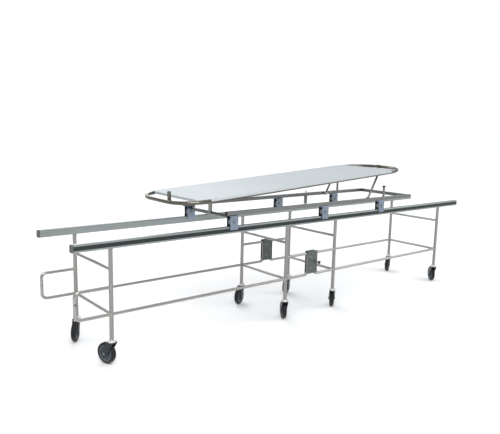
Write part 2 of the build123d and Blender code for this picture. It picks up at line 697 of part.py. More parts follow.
def rest_post(side):
    """Upright on a side bar, under the flat bed."""
    y = side * half_track
    return rod((rest_post_x, y, bar_top), (rest_post_x, y, rest_top - REST_PAD), REST_POST_DIA)


def rest_pad(side):
    """Soft pad on a rest post."""
    y = side * half_track
    pad = rod((rest_post_x, y, rest_top - REST_PAD), (rest_post_x, y, rest_top), REST_PAD_DIA)
    return fillet(pad.faces().sort_by(Axis.Z)[-1].edges(), REST_PAD_ROUND)


def lock_guide():
    """Tube under the far side bar that keeps the lock pin upright."""
    foot = (lock_x, lock_y, rail_top + LOCK_GUIDE_LIFT)
    bore = LOCK_PIN_DIA + 2 * LOCK_PIN_FIT
    return tube(foot, (lock_x, lock_y, housing_top), LOCK_GUIDE_OD, (LOCK_GUIDE_OD - bore) / 2)


def lock_pin():
    """Drop pin through the far side bar, drawn up clear of the rail."""
    tip = rail_top + LOCK_LIFT
    seat = bar_top + LOCK_TRAVEL + LOCK_HEAD_GAP
    pin = rod((lock_x, lock_y, tip), (lock_x, lock_y, seat), LOCK_PIN_DIA)
    head = rod((lock_x, lock_y, seat), (lock_x, lock_y, seat + LOCK_HEAD), LOCK_HEAD_DIA)
    pin = chamfer(pin.faces().sort_by(Axis.Z)[0].edges(), LOCK_TIP)
    return pin + fillet(head.faces().sort_by(Axis.Z)[-1].edges(), LOCK_HEAD_ROUND)


# Prop


def prop_bolt(side):
    """Shoulder bolt on the inside of a bar, with a collar that spaces the eye."""
    collar = PROP_SIDE_GAP - PROP_COLLAR_GAP
    shank = PROP_SIDE_GAP + prop_eye + PROP_COLLAR_GAP
    inward = -side
    wall = (prop_x, side * bar_inside, bar_height)
    bolt = rod(wall, (prop_x, side * bar_inside + inward * shank, bar_height), PROP_BOLT_DIA)
    bolt += rod(wall, (prop_x, side * bar_inside + inward * collar, bar_height), PROP_COLLAR_DIA)
    head_start = (prop_x, side * bar_inside + inward * shank, bar_height)
    head_end = (prop_x, side * bar_inside + inward * (shank + PROP_HEAD), bar_height)
    return bolt + rod(head_start, head_end, PROP_COLLAR_DIA)


def prop_bail():
    """Bent rod with an eye at each foot, leaning under the bed."""
    leg_y = bar_inside - PROP_SIDE_GAP - prop_eye / 2
    points = [(0, -leg_y, 0), (0, -leg_y, prop_length), (0, leg_y, prop_length), (0, leg_y, 0)]
    bail = bent_tube(points, PROP_BEND, Circle(PROP_ROD / 2))
    for y in (-leg_y, leg_y):
        bail += Pos(0, y, 0) * Rot(90, 0, 0) * Cylinder(PROP_EYE_DIA / 2, prop_eye)
    for y in (-leg_y, leg_y):
        bail -= Pos(0, y, 0) * Rot(90, 0, 0) * Cylinder(PROP_BOLT_DIA / 2 + RUN_FIT, 2 * prop_eye)
    return Pos(prop_x, 0, bar_height) * Rot(0, 90 - PROP_LEAN, 0) * bail


# Bed, drawn flat about its hinge axis and then tilted


def bed_outline():
    """Face bounded by the axis of the bed's tube, rounder at the head than at the tail."""
    outline = Pos(bed_middle, 0) * Rectangle(BED_LENGTH, bed_width)
    outline = fillet(outline.vertices().group_by(Axis.X)[0], BED_TAIL_CORNER)
    return fillet(outline.vertices().group_by(Axis.X)[-1], BED_HEAD_CORNER)


def half_width_near_end(gap, corner):
    """Half the outline's width at a distance from one end."""
    short = max(corner - gap, 0)
    return bed_width / 2 - corner + math.sqrt(corner**2 - short**2)


def bed_frame():
    """Closed loop of bent tube."""
    path = (Pos(0, 0, BED_RISE) * bed_outline()).wire()
    return sweep(Plane(path @ 0, z_dir=path % 0) * ring(BED_TUBE, BED_TUBE_WALL), path=path)


def bed_panel():
    """Sheet on the tubes, wrapped over their straight sides, with both ends turned down."""
    start = PANEL_TAIL_GAP - BED_TAIL
    end = bed_head - PANEL_HEAD_GAP
    flat = bed_outline() & Pos((start + end) / 2, 0) * Rectangle(end - start, 2 * bed_width)
    sheet = Pos(0, 0, sheet_bottom) * extrude(flat, PANEL)
    inner = tube_radius + PANEL_FIT
    quarter = (Circle(inner + PANEL) - Circle(inner)) & Pos(inner, inner) * Rectangle(2 * inner, 2 * inner)
    wrap_start = BED_TAIL_CORNER - BED_TAIL
    wrap_end = bed_head - BED_HEAD_CORNER
    wrap = extrude(Plane.YZ * (Pos(bed_width / 2, 0) * quarter), wrap_end - wrap_start)
    wrap = Pos(wrap_start, 0, BED_RISE) * wrap
    sheet += wrap
    sheet += mirror(wrap, Plane.XZ)
    tail_half = half_width_near_end(PANEL_TAIL_GAP, BED_TAIL_CORNER)
    head_half = half_width_near_end(PANEL_HEAD_GAP, BED_HEAD_CORNER)
    for x, half in ((start + PANEL / 2, tail_half), (end - PANEL / 2, head_half)):
        lip = Box(PANEL, 2 * (half - BED_TUBE), PANEL_LIP)
        sheet += Pos(x, 0, sheet_bottom - PANEL_LIP / 2) * lip
    return sheet


def bed_member(x):
    """Rectangular tube under the panel, coped to the side tubes."""
    section = Rectangle(MEMBER_WIDE, MEMBER_TALL)
    section -= Rectangle(MEMBER_WIDE - 2 * MEMBER_WALL, MEMBER_TALL - 2 * MEMBER_WALL)
    member = extrude(Plane.XZ * section, bed_width / 2, both=True)
    member = Pos(x, 0, sheet_bottom - MEMBER_TALL / 2) * member
    for y in (-bed_width / 2, bed_width / 2):
        member -= rod((x - MEMBER_WIDE, y, BED_RISE), (x + MEMBER_WIDE, y, BED_RISE), BED_TUBE)
    return member.solids().sort_by(SortBy.VOLUME)[-1]


def hinge_lug():
    """Bored lug under the hinge member."""
    shape = Circle(LUG_DIA / 2) + Pos(0, member_bottom / 2) * Rectangle(LUG_DIA, member_bottom)
    shape -= Circle(HINGE_PIN_DIA / 2 + RUN_FIT)
    return extrude(Plane.XZ * shape, LUG_WIDE / 2, both=True)


def pole_socket(end, inward, y, rise):
    """Upright cup coped to the inner side of an end tube, for an infusion pole."""
    x = end + inward * pole_inset
    top = BED_RISE + rise
    bottom = top - POLE_SOCKET_LONG
    socket = rod((x, y, bottom), (x, y, top), pole_socket_od)
    socket -= rod((x, y, bottom + POLE_SOCKET_WALL), (x, y, top + CUT_PAST), POLE_BORE)
    return socket - rod((end, y - pole_socket_od, BED_RISE), (end, y + pole_socket_od, BED_RISE), BED_TUBE)


def write_carriage():
    """Write the carriage, its rollers, lock pin and prop."""
    places = [(x, side) for x in housing_places.values() for side in SIDES.values()]
    sides = SIDES.values()
    save("carriage_side_bars", *[side_bar(side) for side in sides], lock_guide())
    save("bar_end_plugs", *[bar_plug(side, end) for side in sides for end in (-1, 1)])
    save("carriage_cross_bars", pivot_cross_bar(), head_cross_bar())
    save("roller_housings", *[roller_housing(x, side) for x, side in places])
    save("roller_axles", *[roller_axle(x, side) for x, side in places])
    for row, x in housing_places.items():
        for name, side in SIDES.items():
            save(f"{row}_{name}_roller", roller(x, side))
    save("bed_pivot_post", pivot_post())
    save("bed_hinge_pin", hinge_pin())
    save("bed_rest_posts", *[piece(side) for side in sides for piece in (rest_post, rest_pad)])
    save("carriage_lock_pin", lock_pin())
    save("prop_pivot_bolts", *[prop_bolt(side) for side in sides])
    save("prop_bail", prop_bail())


def write_bed():
    """Write the bed's nodes at the rest tilt."""
    place = Pos(CARRIAGE_X, 0, hinge_height) * Rot(0, -TILT, 0)
    members = [bed_member(x) for x in (*MEMBERS, prop_member, REST_STEP)]
    save("bed_frame", place * bed_frame())
    save("bed_panel", place * bed_panel())
    save("bed_cross_members", *[place * member for member in members])
    save("bed_hinge_lug", place * hinge_lug())
    tail_socket = pole_socket(-BED_TAIL, 1, -TAIL_POLE_SIDE, TAIL_POLE_RISE)
    head_socket = pole_socket(bed_head, -1, HEAD_POLE_SIDE, HEAD_POLE_RISE)
    save("pole_sockets", place * tail_socket, place * head_socket)


def write_dock():
    """Write the fishplates, their bolts and the lock pins."""
    save("dock_fishplates", *[cheek for side in SIDES.values() for cheek in dock_cheeks(side)])
    save("dock_bolts", *[bolt for side in SIDES.values() for bolt in dock_bolts(side)])
    for name, side in SIDES.items():
        save(f"{name}_dock_pin", dock_pin(side))


os.makedirs("parts", exist_ok=True)
write_cart("left", (left_outer, left_inner), left_end, dock_left, -1, [(left_outer, -1), (left_inner, 1)])
write_cart("right", (right_inner, right_outer), dock_right, right_end, 1, [(right_inner, -1)])
write_dock()
write_casters()
write_carriage()
write_bed()
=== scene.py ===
import json
import math

import bmesh
import bpy
from mathutils import Matrix, Vector


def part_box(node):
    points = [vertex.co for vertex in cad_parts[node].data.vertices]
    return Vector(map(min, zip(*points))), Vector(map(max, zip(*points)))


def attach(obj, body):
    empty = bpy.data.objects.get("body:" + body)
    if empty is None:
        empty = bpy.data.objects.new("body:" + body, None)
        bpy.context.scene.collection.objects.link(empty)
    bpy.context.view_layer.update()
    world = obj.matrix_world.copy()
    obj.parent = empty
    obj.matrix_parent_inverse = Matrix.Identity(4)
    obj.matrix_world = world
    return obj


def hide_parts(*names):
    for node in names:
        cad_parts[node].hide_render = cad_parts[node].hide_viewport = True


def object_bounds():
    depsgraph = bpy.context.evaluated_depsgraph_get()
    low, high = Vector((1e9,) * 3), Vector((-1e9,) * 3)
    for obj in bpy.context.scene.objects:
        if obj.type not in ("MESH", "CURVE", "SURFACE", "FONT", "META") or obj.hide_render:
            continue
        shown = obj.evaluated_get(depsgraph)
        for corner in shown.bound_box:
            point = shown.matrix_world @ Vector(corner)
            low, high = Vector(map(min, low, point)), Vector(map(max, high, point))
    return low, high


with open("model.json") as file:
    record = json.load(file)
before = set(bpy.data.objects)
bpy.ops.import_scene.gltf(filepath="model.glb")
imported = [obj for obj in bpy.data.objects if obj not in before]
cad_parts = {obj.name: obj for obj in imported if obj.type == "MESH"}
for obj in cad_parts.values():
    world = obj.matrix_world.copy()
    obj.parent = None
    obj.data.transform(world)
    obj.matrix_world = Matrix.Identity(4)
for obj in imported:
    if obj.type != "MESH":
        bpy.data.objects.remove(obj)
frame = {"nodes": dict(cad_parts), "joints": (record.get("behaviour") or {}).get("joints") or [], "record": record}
cad_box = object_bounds()

bl_info = {
    "name": "Patient transfer trolley looks",
    "version": (1, 0, 0),
    "blender": (4, 5, 0),
    "location": "View3D > Sidebar > Trolley",
    "description": "Dresses a docking pair of patient carts, their roller carriage and its bed",
    "category": "Object",
}

CARTS = ("left", "right")
SIDES = {"near": -1, "far": 1}
CORNERS = tuple(j["name"].removesuffix("_swivel") for j in frame["joints"] if j["name"].endswith("_swivel"))
ROLLERS = tuple(j["child"] for j in frame["joints"] if j["child"].endswith("_roller"))
UP = Vector((0, 0, 1))
FORWARD = Vector((1, 0, 0))
SPIN_STEPS = 48
THIN_STEPS = 24
MERGE = 1e-5
SMOOTH_LIMIT = math.radians(32)
SHARP_LIMIT = math.radians(50)
FLAT_LIMIT = math.radians(0.6)


# Places read from the frame


def joint(name):
    """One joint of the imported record."""
    return next(j for j in frame["joints"] if j["name"] == name)


def pivot(name):
    """Where a joint turns, in metres."""
    return Vector(joint(name)["pos_m"])


def slot_of(node):
    """The material slot that the record gives a node."""
    return next(s["material_slot"] for s in frame["record"]["subparts"] if s["node"] == node)


def body_of(node):
    """The body that carries a node."""
    return next(body for body, nodes in frame["record"]["behaviour"]["bodies"].items() if node in nodes)


BED_TILT = math.radians(-joint("bed_tilt")["range_deg"][0])
BED_PLACE = Matrix.Translation(pivot("bed_tilt")) @ Matrix.Rotation(-BED_TILT, 4, "Y")


def bed_box(node):
    """Lowest and highest corner of a node in the bed's own level frame."""
    turn_level = BED_PLACE.inverted()
    points = [turn_level @ v.co for v in frame["nodes"][node].data.vertices]
    low = Vector([min(p[i] for p in points) for i in range(3)])
    high = Vector([max(p[i] for p in points) for i in range(3)])
    return low, high


# Settings


class TubeworkSettings(bpy.types.PropertyGroup):
    """Sizes of the carts' tubes and rails, and the tubes' colour"""
    leg: bpy.props.FloatProperty(
        name="Leg diameter", description="Outside of a leg tube", default=0.025, unit="LENGTH")
    brace: bpy.props.FloatProperty(
        name="Brace diameter", description="Outside of a cross or side tube", default=0.019, unit="LENGTH")
    weld: bpy.props.FloatProperty(
        name="Weld bead", description="Radius of a weld bead", default=0.0022, unit="LENGTH")
    lip: bpy.props.FloatProperty(
        name="Rail lip", description="Returned lip above and below the bumper strip",
        default=0.011, unit="LENGTH")
    edge: bpy.props.FloatProperty(
        name="Broken edge", description="Width of the bevel on cut sheet and bar",
        default=0.0006, unit="LENGTH")
    tint: bpy.props.FloatVectorProperty(
        name="Steel tint", description="Colour of the satin tubes", default=(0.29, 0.29, 0.275),
        size=3, subtype="COLOR", min=0, max=1)


class CasterSettings(bpy.types.PropertyGroup):
    """Sizes of the casters and the hubs' colour"""
    tyre_width: bpy.props.FloatProperty(
        name="Tyre width", description="Across the tread", default=0.030, unit="LENGTH")
    rim: bpy.props.FloatProperty(
        name="Rim diameter", description="Where the tyre sits", default=0.092, unit="LENGTH")
    boss: bpy.props.FloatProperty(
        name="Boss diameter", description="Middle of the hub", default=0.028, unit="LENGTH")
    ribs: bpy.props.IntProperty(
        name="Ribs", description="Ribs on each face of the hub", default=8, min=3, max=16)
    crown: bpy.props.FloatProperty(
        name="Crown height", description="Top of the fork's crown above the floor",
        default=0.135, unit="LENGTH")
    hub_colour: bpy.props.FloatVectorProperty(
        name="Hub colour", description="Moulded hub", default=(0.066, 0.090, 0.106),
        size=3, subtype="COLOR", min=0, max=1)


class BedSettings(bpy.types.PropertyGroup):
    """Sizes of the bed's loop and the sheet's colour"""
    tube: bpy.props.FloatProperty(
        name="Bed tube", description="Outside of the bed's loop", default=0.025, unit="LENGTH")
    tail_corner: bpy.props.FloatProperty(
        name="Tail corner", description="Bend radius at the tail", default=0.190, unit="LENGTH")
    head_corner: bpy.props.FloatProperty(
        name="Head corner", description="Bend radius at the head", default=0.250, unit="LENGTH")
    sheet_colour: bpy.props.FloatVectorProperty(
        name="Sheet colour", description="Pale brushed sheet", default=(0.412, 0.450, 0.462),
        size=3, subtype="COLOR", min=0, max=1)


class StageSettings(bpy.types.PropertyGroup):
    """Place and lens of the camera, and the floor's colour"""
    eye: bpy.props.FloatVectorProperty(
        name="Camera place", description="Where the camera stands", default=(-2.9793, -3.1631, 1.3789),
        size=3, subtype="TRANSLATION")
    yaw: bpy.props.FloatProperty(
        name="Yaw", description="Camera heading, clockwise from the width axis",
        default=0.6837, subtype="ANGLE")
    pitch: bpy.props.FloatProperty(
        name="Pitch", description="Camera tilt above level", default=-0.1608, subtype="ANGLE")
    roll: bpy.props.FloatProperty(
        name="Roll", description="Camera roll about its own axis", default=0.0232, subtype="ANGLE")
    lens: bpy.props.FloatProperty(
        name="Lens", description="Focal length on a 36 mm wide sensor, in millimetres", default=41.8)
    floor_colour: bpy.props.FloatVectorProperty(
        name="Floor colour", description="Plain pale floor", default=(0.86, 0.86, 0.86),
        size=3, subtype="COLOR", min=0, max=1)


class TrolleySettings(bpy.types.PropertyGroup):
    """All settings of the trolley"""
    tubework: bpy.props.PointerProperty(type=TubeworkSettings)
    caster: bpy.props.PointerProperty(type=CasterSettings)
    bed: bpy.props.PointerProperty(type=BedSettings)
    stage: bpy.props.PointerProperty(type=StageSettings)


def settings():
    """The scene's own settings."""
    return bpy.context.scene.trolley


# Shader nodes and node groups

VECTOR = "NodeSocketVector"
VALUE = "NodeSocketFloat"


def set_inputs(node, values):
    """Set plain values on sockets, whose names have underscores for their spaces."""
    for socket, value in values.items():
        node.inputs[socket.replace("_", " ")].default_value = value


def add_node(nodes, kind, operation=None, **values):
    """New node with its operation and plain values set."""
    node = nodes.new(kind)
    if operation:
        node.operation = operation
    set_inputs(node, values)
    return node


def group_tree(name, inputs, outputs):
    """Empty node group with named sockets and its two end nodes."""
    tree = bpy.data.node_groups.new(name, "ShaderNodeTree")
    for label, kind in inputs.items():
        tree.interface.new_socket(label, in_out="INPUT", socket_type=kind)
    for label, kind in outputs.items():
        tree.interface.new_socket(label, in_out="OUTPUT", socket_type=kind)
    return tree, tree.nodes.new("NodeGroupInput"), tree.nodes.new("NodeGroupOutput")


def brushed_grain(name):
    """Fine streaks that run where the coordinates are stretched, with a slow drift of tone."""
    inputs = {"Place": VECTOR, "Stretch": VECTOR, "Drift": VALUE}
    tree, start, end = group_tree(name, inputs, {"Streak": VALUE, "Tone": VALUE})
    scale = add_node(tree.nodes, "ShaderNodeVectorMath", "MULTIPLY")
    streak = add_node(tree.nodes, "ShaderNodeTexNoise", Scale=1.0, Detail=3.0)
    tone = add_node(tree.nodes, "ShaderNodeTexNoise", Detail=2.0)
    link = tree.links.new
    link(start.outputs["Place"], scale.inputs[0])
    link(start.outputs["Stretch"], scale.inputs[1])
    link(scale.outputs["Vector"], streak.inputs["Vector"])
    link(start.outputs["Place"], tone.inputs["Vector"])
    link(start.outputs["Drift"], tone.inputs["Scale"])
    link(streak.outputs["Fac"], end.inputs["Streak"])
    link(tone.outputs["Fac"], end.inputs["Tone"])
    return tree


def floor_dust(name):
    """Mask that is full at the floor and fades out, broken up, at a given height."""
    inputs = {"Place": VECTOR, "Reach": VALUE, "Breakup": VALUE}
    tree, start, end = group_tree(name, inputs, {"Mask": VALUE})
    split = add_node(tree.nodes, "ShaderNodeSeparateXYZ")
    fade = add_node(tree.nodes, "ShaderNodeMapRange", To_Min=1.0, To_Max=0.0)
    noise = add_node(tree.nodes, "ShaderNodeTexNoise", Detail=4.0)
    broken = add_node(tree.nodes, "ShaderNodeMath", "MULTIPLY")
    link = tree.links.new
    link(start.outputs["Place"], split.inputs["Vector"])
    link(split.outputs["Z"], fade.inputs["Value"])
    link(start.outputs["Reach"], fade.inputs["From Max"])
    link(start.outputs["Place"], noise.inputs["Vector"])
    link(start.outputs["Breakup"], noise.inputs["Scale"])
    link(fade.outputs["Result"], broken.inputs[0])
    link(noise.outputs["Fac"], broken.inputs[1])
    link(broken.outputs["Value"], end.inputs["Mask"])
    return tree


def worn_spots(name):
    """Scattered small marks: scuffs, chips and finger smears, as a mask."""
    soft_rim = 0.08
    inputs = {"Place": VECTOR, "Size": VALUE, "Rarity": VALUE}
    tree, start, end = group_tree(name, inputs, {"Mask": VALUE})
    noise = add_node(tree.nodes, "ShaderNodeTexNoise", Detail=6.0, Roughness=0.65)
    cut = add_node(tree.nodes, "ShaderNodeMapRange")
    top = add_node(tree.nodes, "ShaderNodeMath", "ADD")
    top.inputs[1].default_value = soft_rim
    link = tree.links.new
    link(start.outputs["Place"], noise.inputs["Vector"])
    link(start.outputs["Size"], noise.inputs["Scale"])
    link(noise.outputs["Fac"], cut.inputs["Value"])
    link(start.outputs["Rarity"], cut.inputs["From Min"])
    link(start.outputs["Rarity"], top.inputs[0])
    link(top.outputs["Value"], cut.inputs["From Max"])
    link(cut.outputs["Result"], end.inputs["Mask"])
    return tree


# Materials


class Finish:
    """A material under construction, with the nodes that every finish here shares."""

    def __init__(self, name, **uniform):
        self.material = bpy.data.materials.new(name)
        self.material.use_nodes = True
        self.nodes = self.material.node_tree.nodes
        self.link = self.material.node_tree.links.new
        self.shader = self.nodes["Principled BSDF"]
        self.place = self.nodes.new("ShaderNodeTexCoord").outputs["Object"]
        set_inputs(self.shader, uniform)

    def group(self, build, **values):
        """Place a shared node group, built at its first use, with its own values."""
        name = build.__name__.replace("_", " ")
        node = self.nodes.new("ShaderNodeGroup")
        node.node_tree = bpy.data.node_groups.get(name) or build(name)
        self.link(self.place, node.inputs["Place"])
        set_inputs(node, values)
        return node.outputs

    def spread(self, source, low, high):
        """Map a mask onto a range of values."""
        node = add_node(self.nodes, "ShaderNodeMapRange", To_Min=low, To_Max=high)
        self.link(source, node.inputs["Value"])
        return node.outputs["Result"]

    def mix(self, mask, first, second):
        """Mix two colours, each a plain colour or a socket, by a mask."""
        node = self.nodes.new("ShaderNodeMix")
        node.data_type = "RGBA"
        self.link(mask, node.inputs["Factor"])
        for label, colour in (("A", first), ("B", second)):
            socket = next(s for s in node.inputs if s.name == label and s.type == "RGBA")
            if isinstance(colour, bpy.types.NodeSocket):
                self.link(colour, socket)
            else:
                socket.default_value = (*colour, 1.0)
        return next(s for s in node.outputs if s.type == "RGBA")

    def noise(self, scale, detail=3.0):
        """Plain noise on the object's coordinates."""
        node = add_node(self.nodes, "ShaderNodeTexNoise", Scale=scale, Detail=detail)
        self.link(self.place, node.inputs["Vector"])
        return node.outputs["Fac"]

    def reach(self, near, far):
        """Mask that rises from zero to one between two distances from the object's middle."""
        length = add_node(self.nodes, "ShaderNodeVectorMath", "LENGTH")
        self.link(self.place, length.inputs[0])
        ramp = add_node(self.nodes, "ShaderNodeMapRange", From_Min=near, From_Max=far)
        ramp.interpolation_type = "SMOOTHSTEP"
        self.link(length.outputs["Value"], ramp.inputs["Value"])
        return ramp.outputs["Result"]

    def bump(self, height, strength, depth):
        """Raise the surface by a height, whose full range is a depth in metres."""
        node = add_node(self.nodes, "ShaderNodeBump", Strength=strength, Distance=depth)
        self.link(height, node.inputs["Height"])
        self.link(node.outputs["Normal"], self.shader.inputs["Normal"])

    def set(self, socket, source):
        """Feed one of the shader's inputs."""
        self.link(source, self.shader.inputs[socket])


def shade(colour, factor):
    """A colour made darker or lighter."""
    return tuple(min(1.0, c * factor) for c in colour[:3])


TUBE_GRAIN = {"stretch": (420, 420, 420), "streak_depth": 0.03, "relief": 0.004}


def steel(name, tint, rough, drift, stretch, streak_depth=0.10, relief=0.06):
    """Bare steel with streaks of polish, a slow drift of tone and a few smears."""
    finish = Finish(name, Metallic=1.0)
    grain = finish.group(brushed_grain, Stretch=stretch, Drift=drift)
    smears = finish.group(worn_spots, Size=9.0, Rarity=0.60)
    body = finish.mix(grain["Tone"], shade(tint, 0.88), shade(tint, 1.08))
    finish.set("Base Color", finish.mix(smears["Mask"], body, shade(tint, 0.92)))
    finish.set("Roughness", finish.spread(grain["Streak"], rough - streak_depth, rough + streak_depth))
    finish.bump(grain["Streak"], strength=relief, depth=0.0002)
    return finish.material


def satin_tube():
    """Drawn stainless tube."""
    return steel("satin stainless tube", settings().tubework.tint, rough=0.28, drift=4.0, **TUBE_GRAIN)


def bright_brace():
    """Thin braces and loops, drawn brighter than the legs."""
    tint = shade(settings().tubework.tint, 1.22)
    return steel("bright brace tube", tint, rough=0.28, drift=4.0, **TUBE_GRAIN)


def bed_tube():
    """Bed loop, a little warmer, and darker than the legs as painted shade: the tint is lowered to stand in for
    the shadow on the loop.
    """
    return steel("bed tube darkened as painted shade", (0.140, 0.132, 0.110), rough=0.24, drift=5.0, **TUBE_GRAIN)


def brushed_rail():
    """Folded rail, brushed along its length."""
    tint = (0.31, 0.34, 0.335)
    return steel("rail brushed lengthwise", tint, rough=0.34, drift=2.0, stretch=(6, 900, 900))


def dark_bar():
    """Carriage bars, brushed along the trolley and darker than the legs."""
    tint = (0.205, 0.208, 0.205)
    return steel(
        "carriage bar steel", tint, rough=0.30, drift=2.5, stretch=(8, 700, 700), streak_depth=0.08)


def bright_housing():
    """Folded housings with a cool polish, brushed across the trolley."""
    tint = (0.22, 0.265, 0.325)
    return steel(
        "polished housing sheet", tint, rough=0.26, drift=6.0, stretch=(500, 30, 500), streak_depth=0.08)


def pale_sheet():
    """Bed sheet, satin and finely brushed across the bed, with faint wipe marks."""
    colour = settings().bed.sheet_colour
    finish = Finish("pale satin bed sheet", Metallic=0.12)
    grain = finish.group(brushed_grain, Stretch=(900, 12, 900), Drift=1.4)
    wipes = finish.group(worn_spots, Size=5.0, Rarity=0.56)
    body = finish.mix(grain["Tone"], shade(colour, 0.95), shade(colour, 1.04))
    finish.set("Base Color", finish.mix(wipes["Mask"], body, shade(colour, 0.96)))
    finish.set("Roughness", finish.spread(grain["Streak"], 0.56, 0.72))
    finish.bump(grain["Streak"], strength=0.05, depth=0.0002)
    return finish.material


def zinc(name, dark, light, worn):
    """Plated steel with clouds of tone and small worn spots."""
    finish = Finish(name, Metallic=1.0)
    spots = finish.group(worn_spots, Size=160.0, Rarity=0.62)
    clouds = finish.noise(60.0)
    body = finish.mix(clouds, dark, light)
    finish.set("Base Color", finish.mix(spots["Mask"], body, worn))
    finish.set("Roughness", finish.spread(clouds, 0.20, 0.40))
    finish.bump(spots["Mask"], strength=0.15, depth=0.0001)
    return finish.material


def zinc_plate():
    """Bright plated fittings: sockets, swivel heads and lock pins."""
    return zinc("bright zinc plate", (0.60, 0.61, 0.62), (0.72, 0.72, 0.71), (0.48, 0.48, 0.46))


def dull_bolt():
    """Passivated bolts, nuts, axle pins and rest posts."""
    return zinc("dull zinc bolt", (0.19, 0.20, 0.20), (0.26, 0.26, 0.25), (0.14, 0.14, 0.13))


def dark_green_paint():
    """Satin paint with a fine orange peel and a few chips to bare metal."""
    finish = Finish("dark green-grey satin paint", Coat_Weight=0.25, Coat_Roughness=0.25)
    chips = finish.group(worn_spots, Size=90.0, Rarity=0.66)
    clouds = finish.noise(14.0)
    body = finish.mix(clouds, (0.045, 0.060, 0.055), (0.075, 0.095, 0.085))
    finish.set("Base Color", finish.mix(chips["Mask"], body, (0.33, 0.34, 0.34)))
    finish.set("Roughness", finish.spread(clouds, 0.34, 0.50))
    finish.set("Metallic", chips["Mask"])
    finish.bump(finish.noise(1400.0), strength=0.08, depth=0.0002)
    return finish.material


def dark_fork_paint():
    """Dark satin paint on pressed forks, dusty and worn to steel in small spots."""
    finish = Finish("dark fork paint", Coat_Weight=0.10, Coat_Roughness=0.25, Specular_IOR_Level=0.25)
    chips = finish.group(worn_spots, Size=110.0, Rarity=0.67)
    dust = finish.group(floor_dust, Reach=0.12, Breakup=60.0)
    clouds = finish.noise(30.0)
    body = finish.mix(clouds, (0.009, 0.013, 0.015), (0.016, 0.021, 0.024))
    dusty = finish.mix(finish.spread(dust["Mask"], 0.0, 0.25), body, (0.20, 0.20, 0.19))
    finish.set("Base Color", finish.mix(chips["Mask"], dusty, (0.30, 0.31, 0.31)))
    finish.set("Roughness", finish.spread(clouds, 0.28, 0.42))
    finish.set("Metallic", chips["Mask"])
    finish.bump(finish.noise(1200.0), strength=0.06, depth=0.0002)
    return finish.material


def weld_bead():
    """Rippled weld with straw and grey heat colours."""
    finish = Finish("brushed weld bead", Metallic=1.0)
    ripples = finish.noise(900.0, detail=2.0)
    heat = finish.noise(120.0)
    finish.set("Base Color", finish.mix(heat, (0.30, 0.29, 0.27), (0.42, 0.38, 0.30)))
    finish.set("Roughness", finish.spread(ripples, 0.26, 0.46))
    finish.bump(ripples, strength=0.35, depth=0.0004)
    return finish.material


def dusty_moulding(name, dark, light, rough, pebble):
    """Moulded rubber or plastic with a pebbled skin and dust near the floor."""
    rough_range = 0.08
    finish = Finish(name, Specular_IOR_Level=0.3)
    clouds = finish.noise(22.0)
    dust = finish.group(floor_dust, Reach=0.05, Breakup=45.0)
    scuffs = finish.group(worn_spots, Size=70.0, Rarity=0.62)
    body = finish.mix(clouds, dark, light)
    scuffed = finish.mix(finish.spread(scuffs["Mask"], 0.0, 0.45), body, shade(light, 3.0))
    dusty = finish.mix(finish.spread(dust["Mask"], 0.0, 0.40), scuffed, (0.30, 0.29, 0.27))
    finish.set("Base Color", dusty)
    finish.set("Roughness", finish.spread(clouds, rough - rough_range, rough + rough_range))
    finish.bump(finish.noise(pebble), strength=0.12, depth=0.0003)
    return finish.material


def bumper_rubber():
    """Extruded black bumper."""
    dark, light = (0.012, 0.016, 0.016), (0.026, 0.033, 0.033)
    return dusty_moulding("black bumper rubber", dark, light, rough=0.52, pebble=900.0)


def end_cap_rubber():
    """Grey moulded rail caps."""
    dark, light = (0.075, 0.080, 0.079), (0.115, 0.120, 0.118)
    return dusty_moulding("grey cap rubber", dark, light, rough=0.50, pebble=900.0)


def tyre_rubber():
    """Solid black tyre."""
    dark, light = (0.006, 0.006, 0.008), (0.012, 0.012, 0.014)
    return dusty_moulding("black tyre rubber", dark, light, rough=0.66, pebble=700.0)


def hub_moulding():
    """Blue-grey moulded hub."""
    colour = settings().caster.hub_colour
    dark, light = shade(colour, 0.8), shade(colour, 1.15)
    return dusty_moulding("blue-grey hub moulding", dark, light, rough=0.42, pebble=1100.0)


def black_moulding():
    """Plugs, knobs and pads."""
    dark, light = (0.016, 0.016, 0.018), (0.032, 0.032, 0.035)
    return dusty_moulding("black moulding", dark, light, rough=0.48, pebble=1000.0)


def turned_nylon():
    """Turned grey nylon rollers."""
    finish = Finish("turned nylon")
    clouds = finish.noise(240.0)
    finish.set("Base Color", finish.mix(clouds, (0.150, 0.155, 0.150), (0.215, 0.220, 0.215)))
    finish.set("Roughness", finish.spread(clouds, 0.36, 0.54))
    finish.bump(clouds, strength=0.08, depth=0.0002)
    return finish.material


# Finishes by the record's slot, or by a look where pieces of one slot differ
FINISHES = {
    "tube_steel": satin_tube,
    "rail_steel": brushed_rail,
    "bed_tube_steel": bed_tube,
    "housing_steel": bright_housing,
    "panel_sheet": pale_sheet,
    "plated_steel": zinc_plate,
    "fishplate_paint": dark_green_paint,
    "fork_steel": dark_fork_paint,
    "bumper_rubber": bumper_rubber,
    "tyre_rubber": tyre_rubber,
    "hub_plastic": hub_moulding,
    "plug_plastic": black_moulding,
    "roller_nylon": turned_nylon,
    "weld": weld_bead,
    "brace": bright_brace,
    "bolt": dull_bolt,
    "carriage_bar": dark_bar,
    "end_cap": end_cap_rubber,
}
made_finishes = {}


def finish_for(slot):
    """The material of a slot or a look, made once."""
    if slot not in made_finishes:
        made_finishes[slot] = FINISHES[slot]()
    return made_finishes[slot]


# Mesh helpers


def arc(turn, steps):
    """Angles in radians, from zero to a turn given in degrees, in equal steps."""
    return [math.radians(turn * k / steps) for k in range(steps + 1)]


def facing(centre, axis):
    """Place that stands a shape made along Z on a centre, along an axis."""
    return Matrix.Translation(centre) @ Vector(axis).to_track_quat("Z", "Y").to_matrix().to_4x4()


def edges_of(verts):
    """Edges that join two of these vertices."""
    inside = set(verts)
    return list({e for v in verts for e in v.link_edges if e.other_vert(v) in inside})


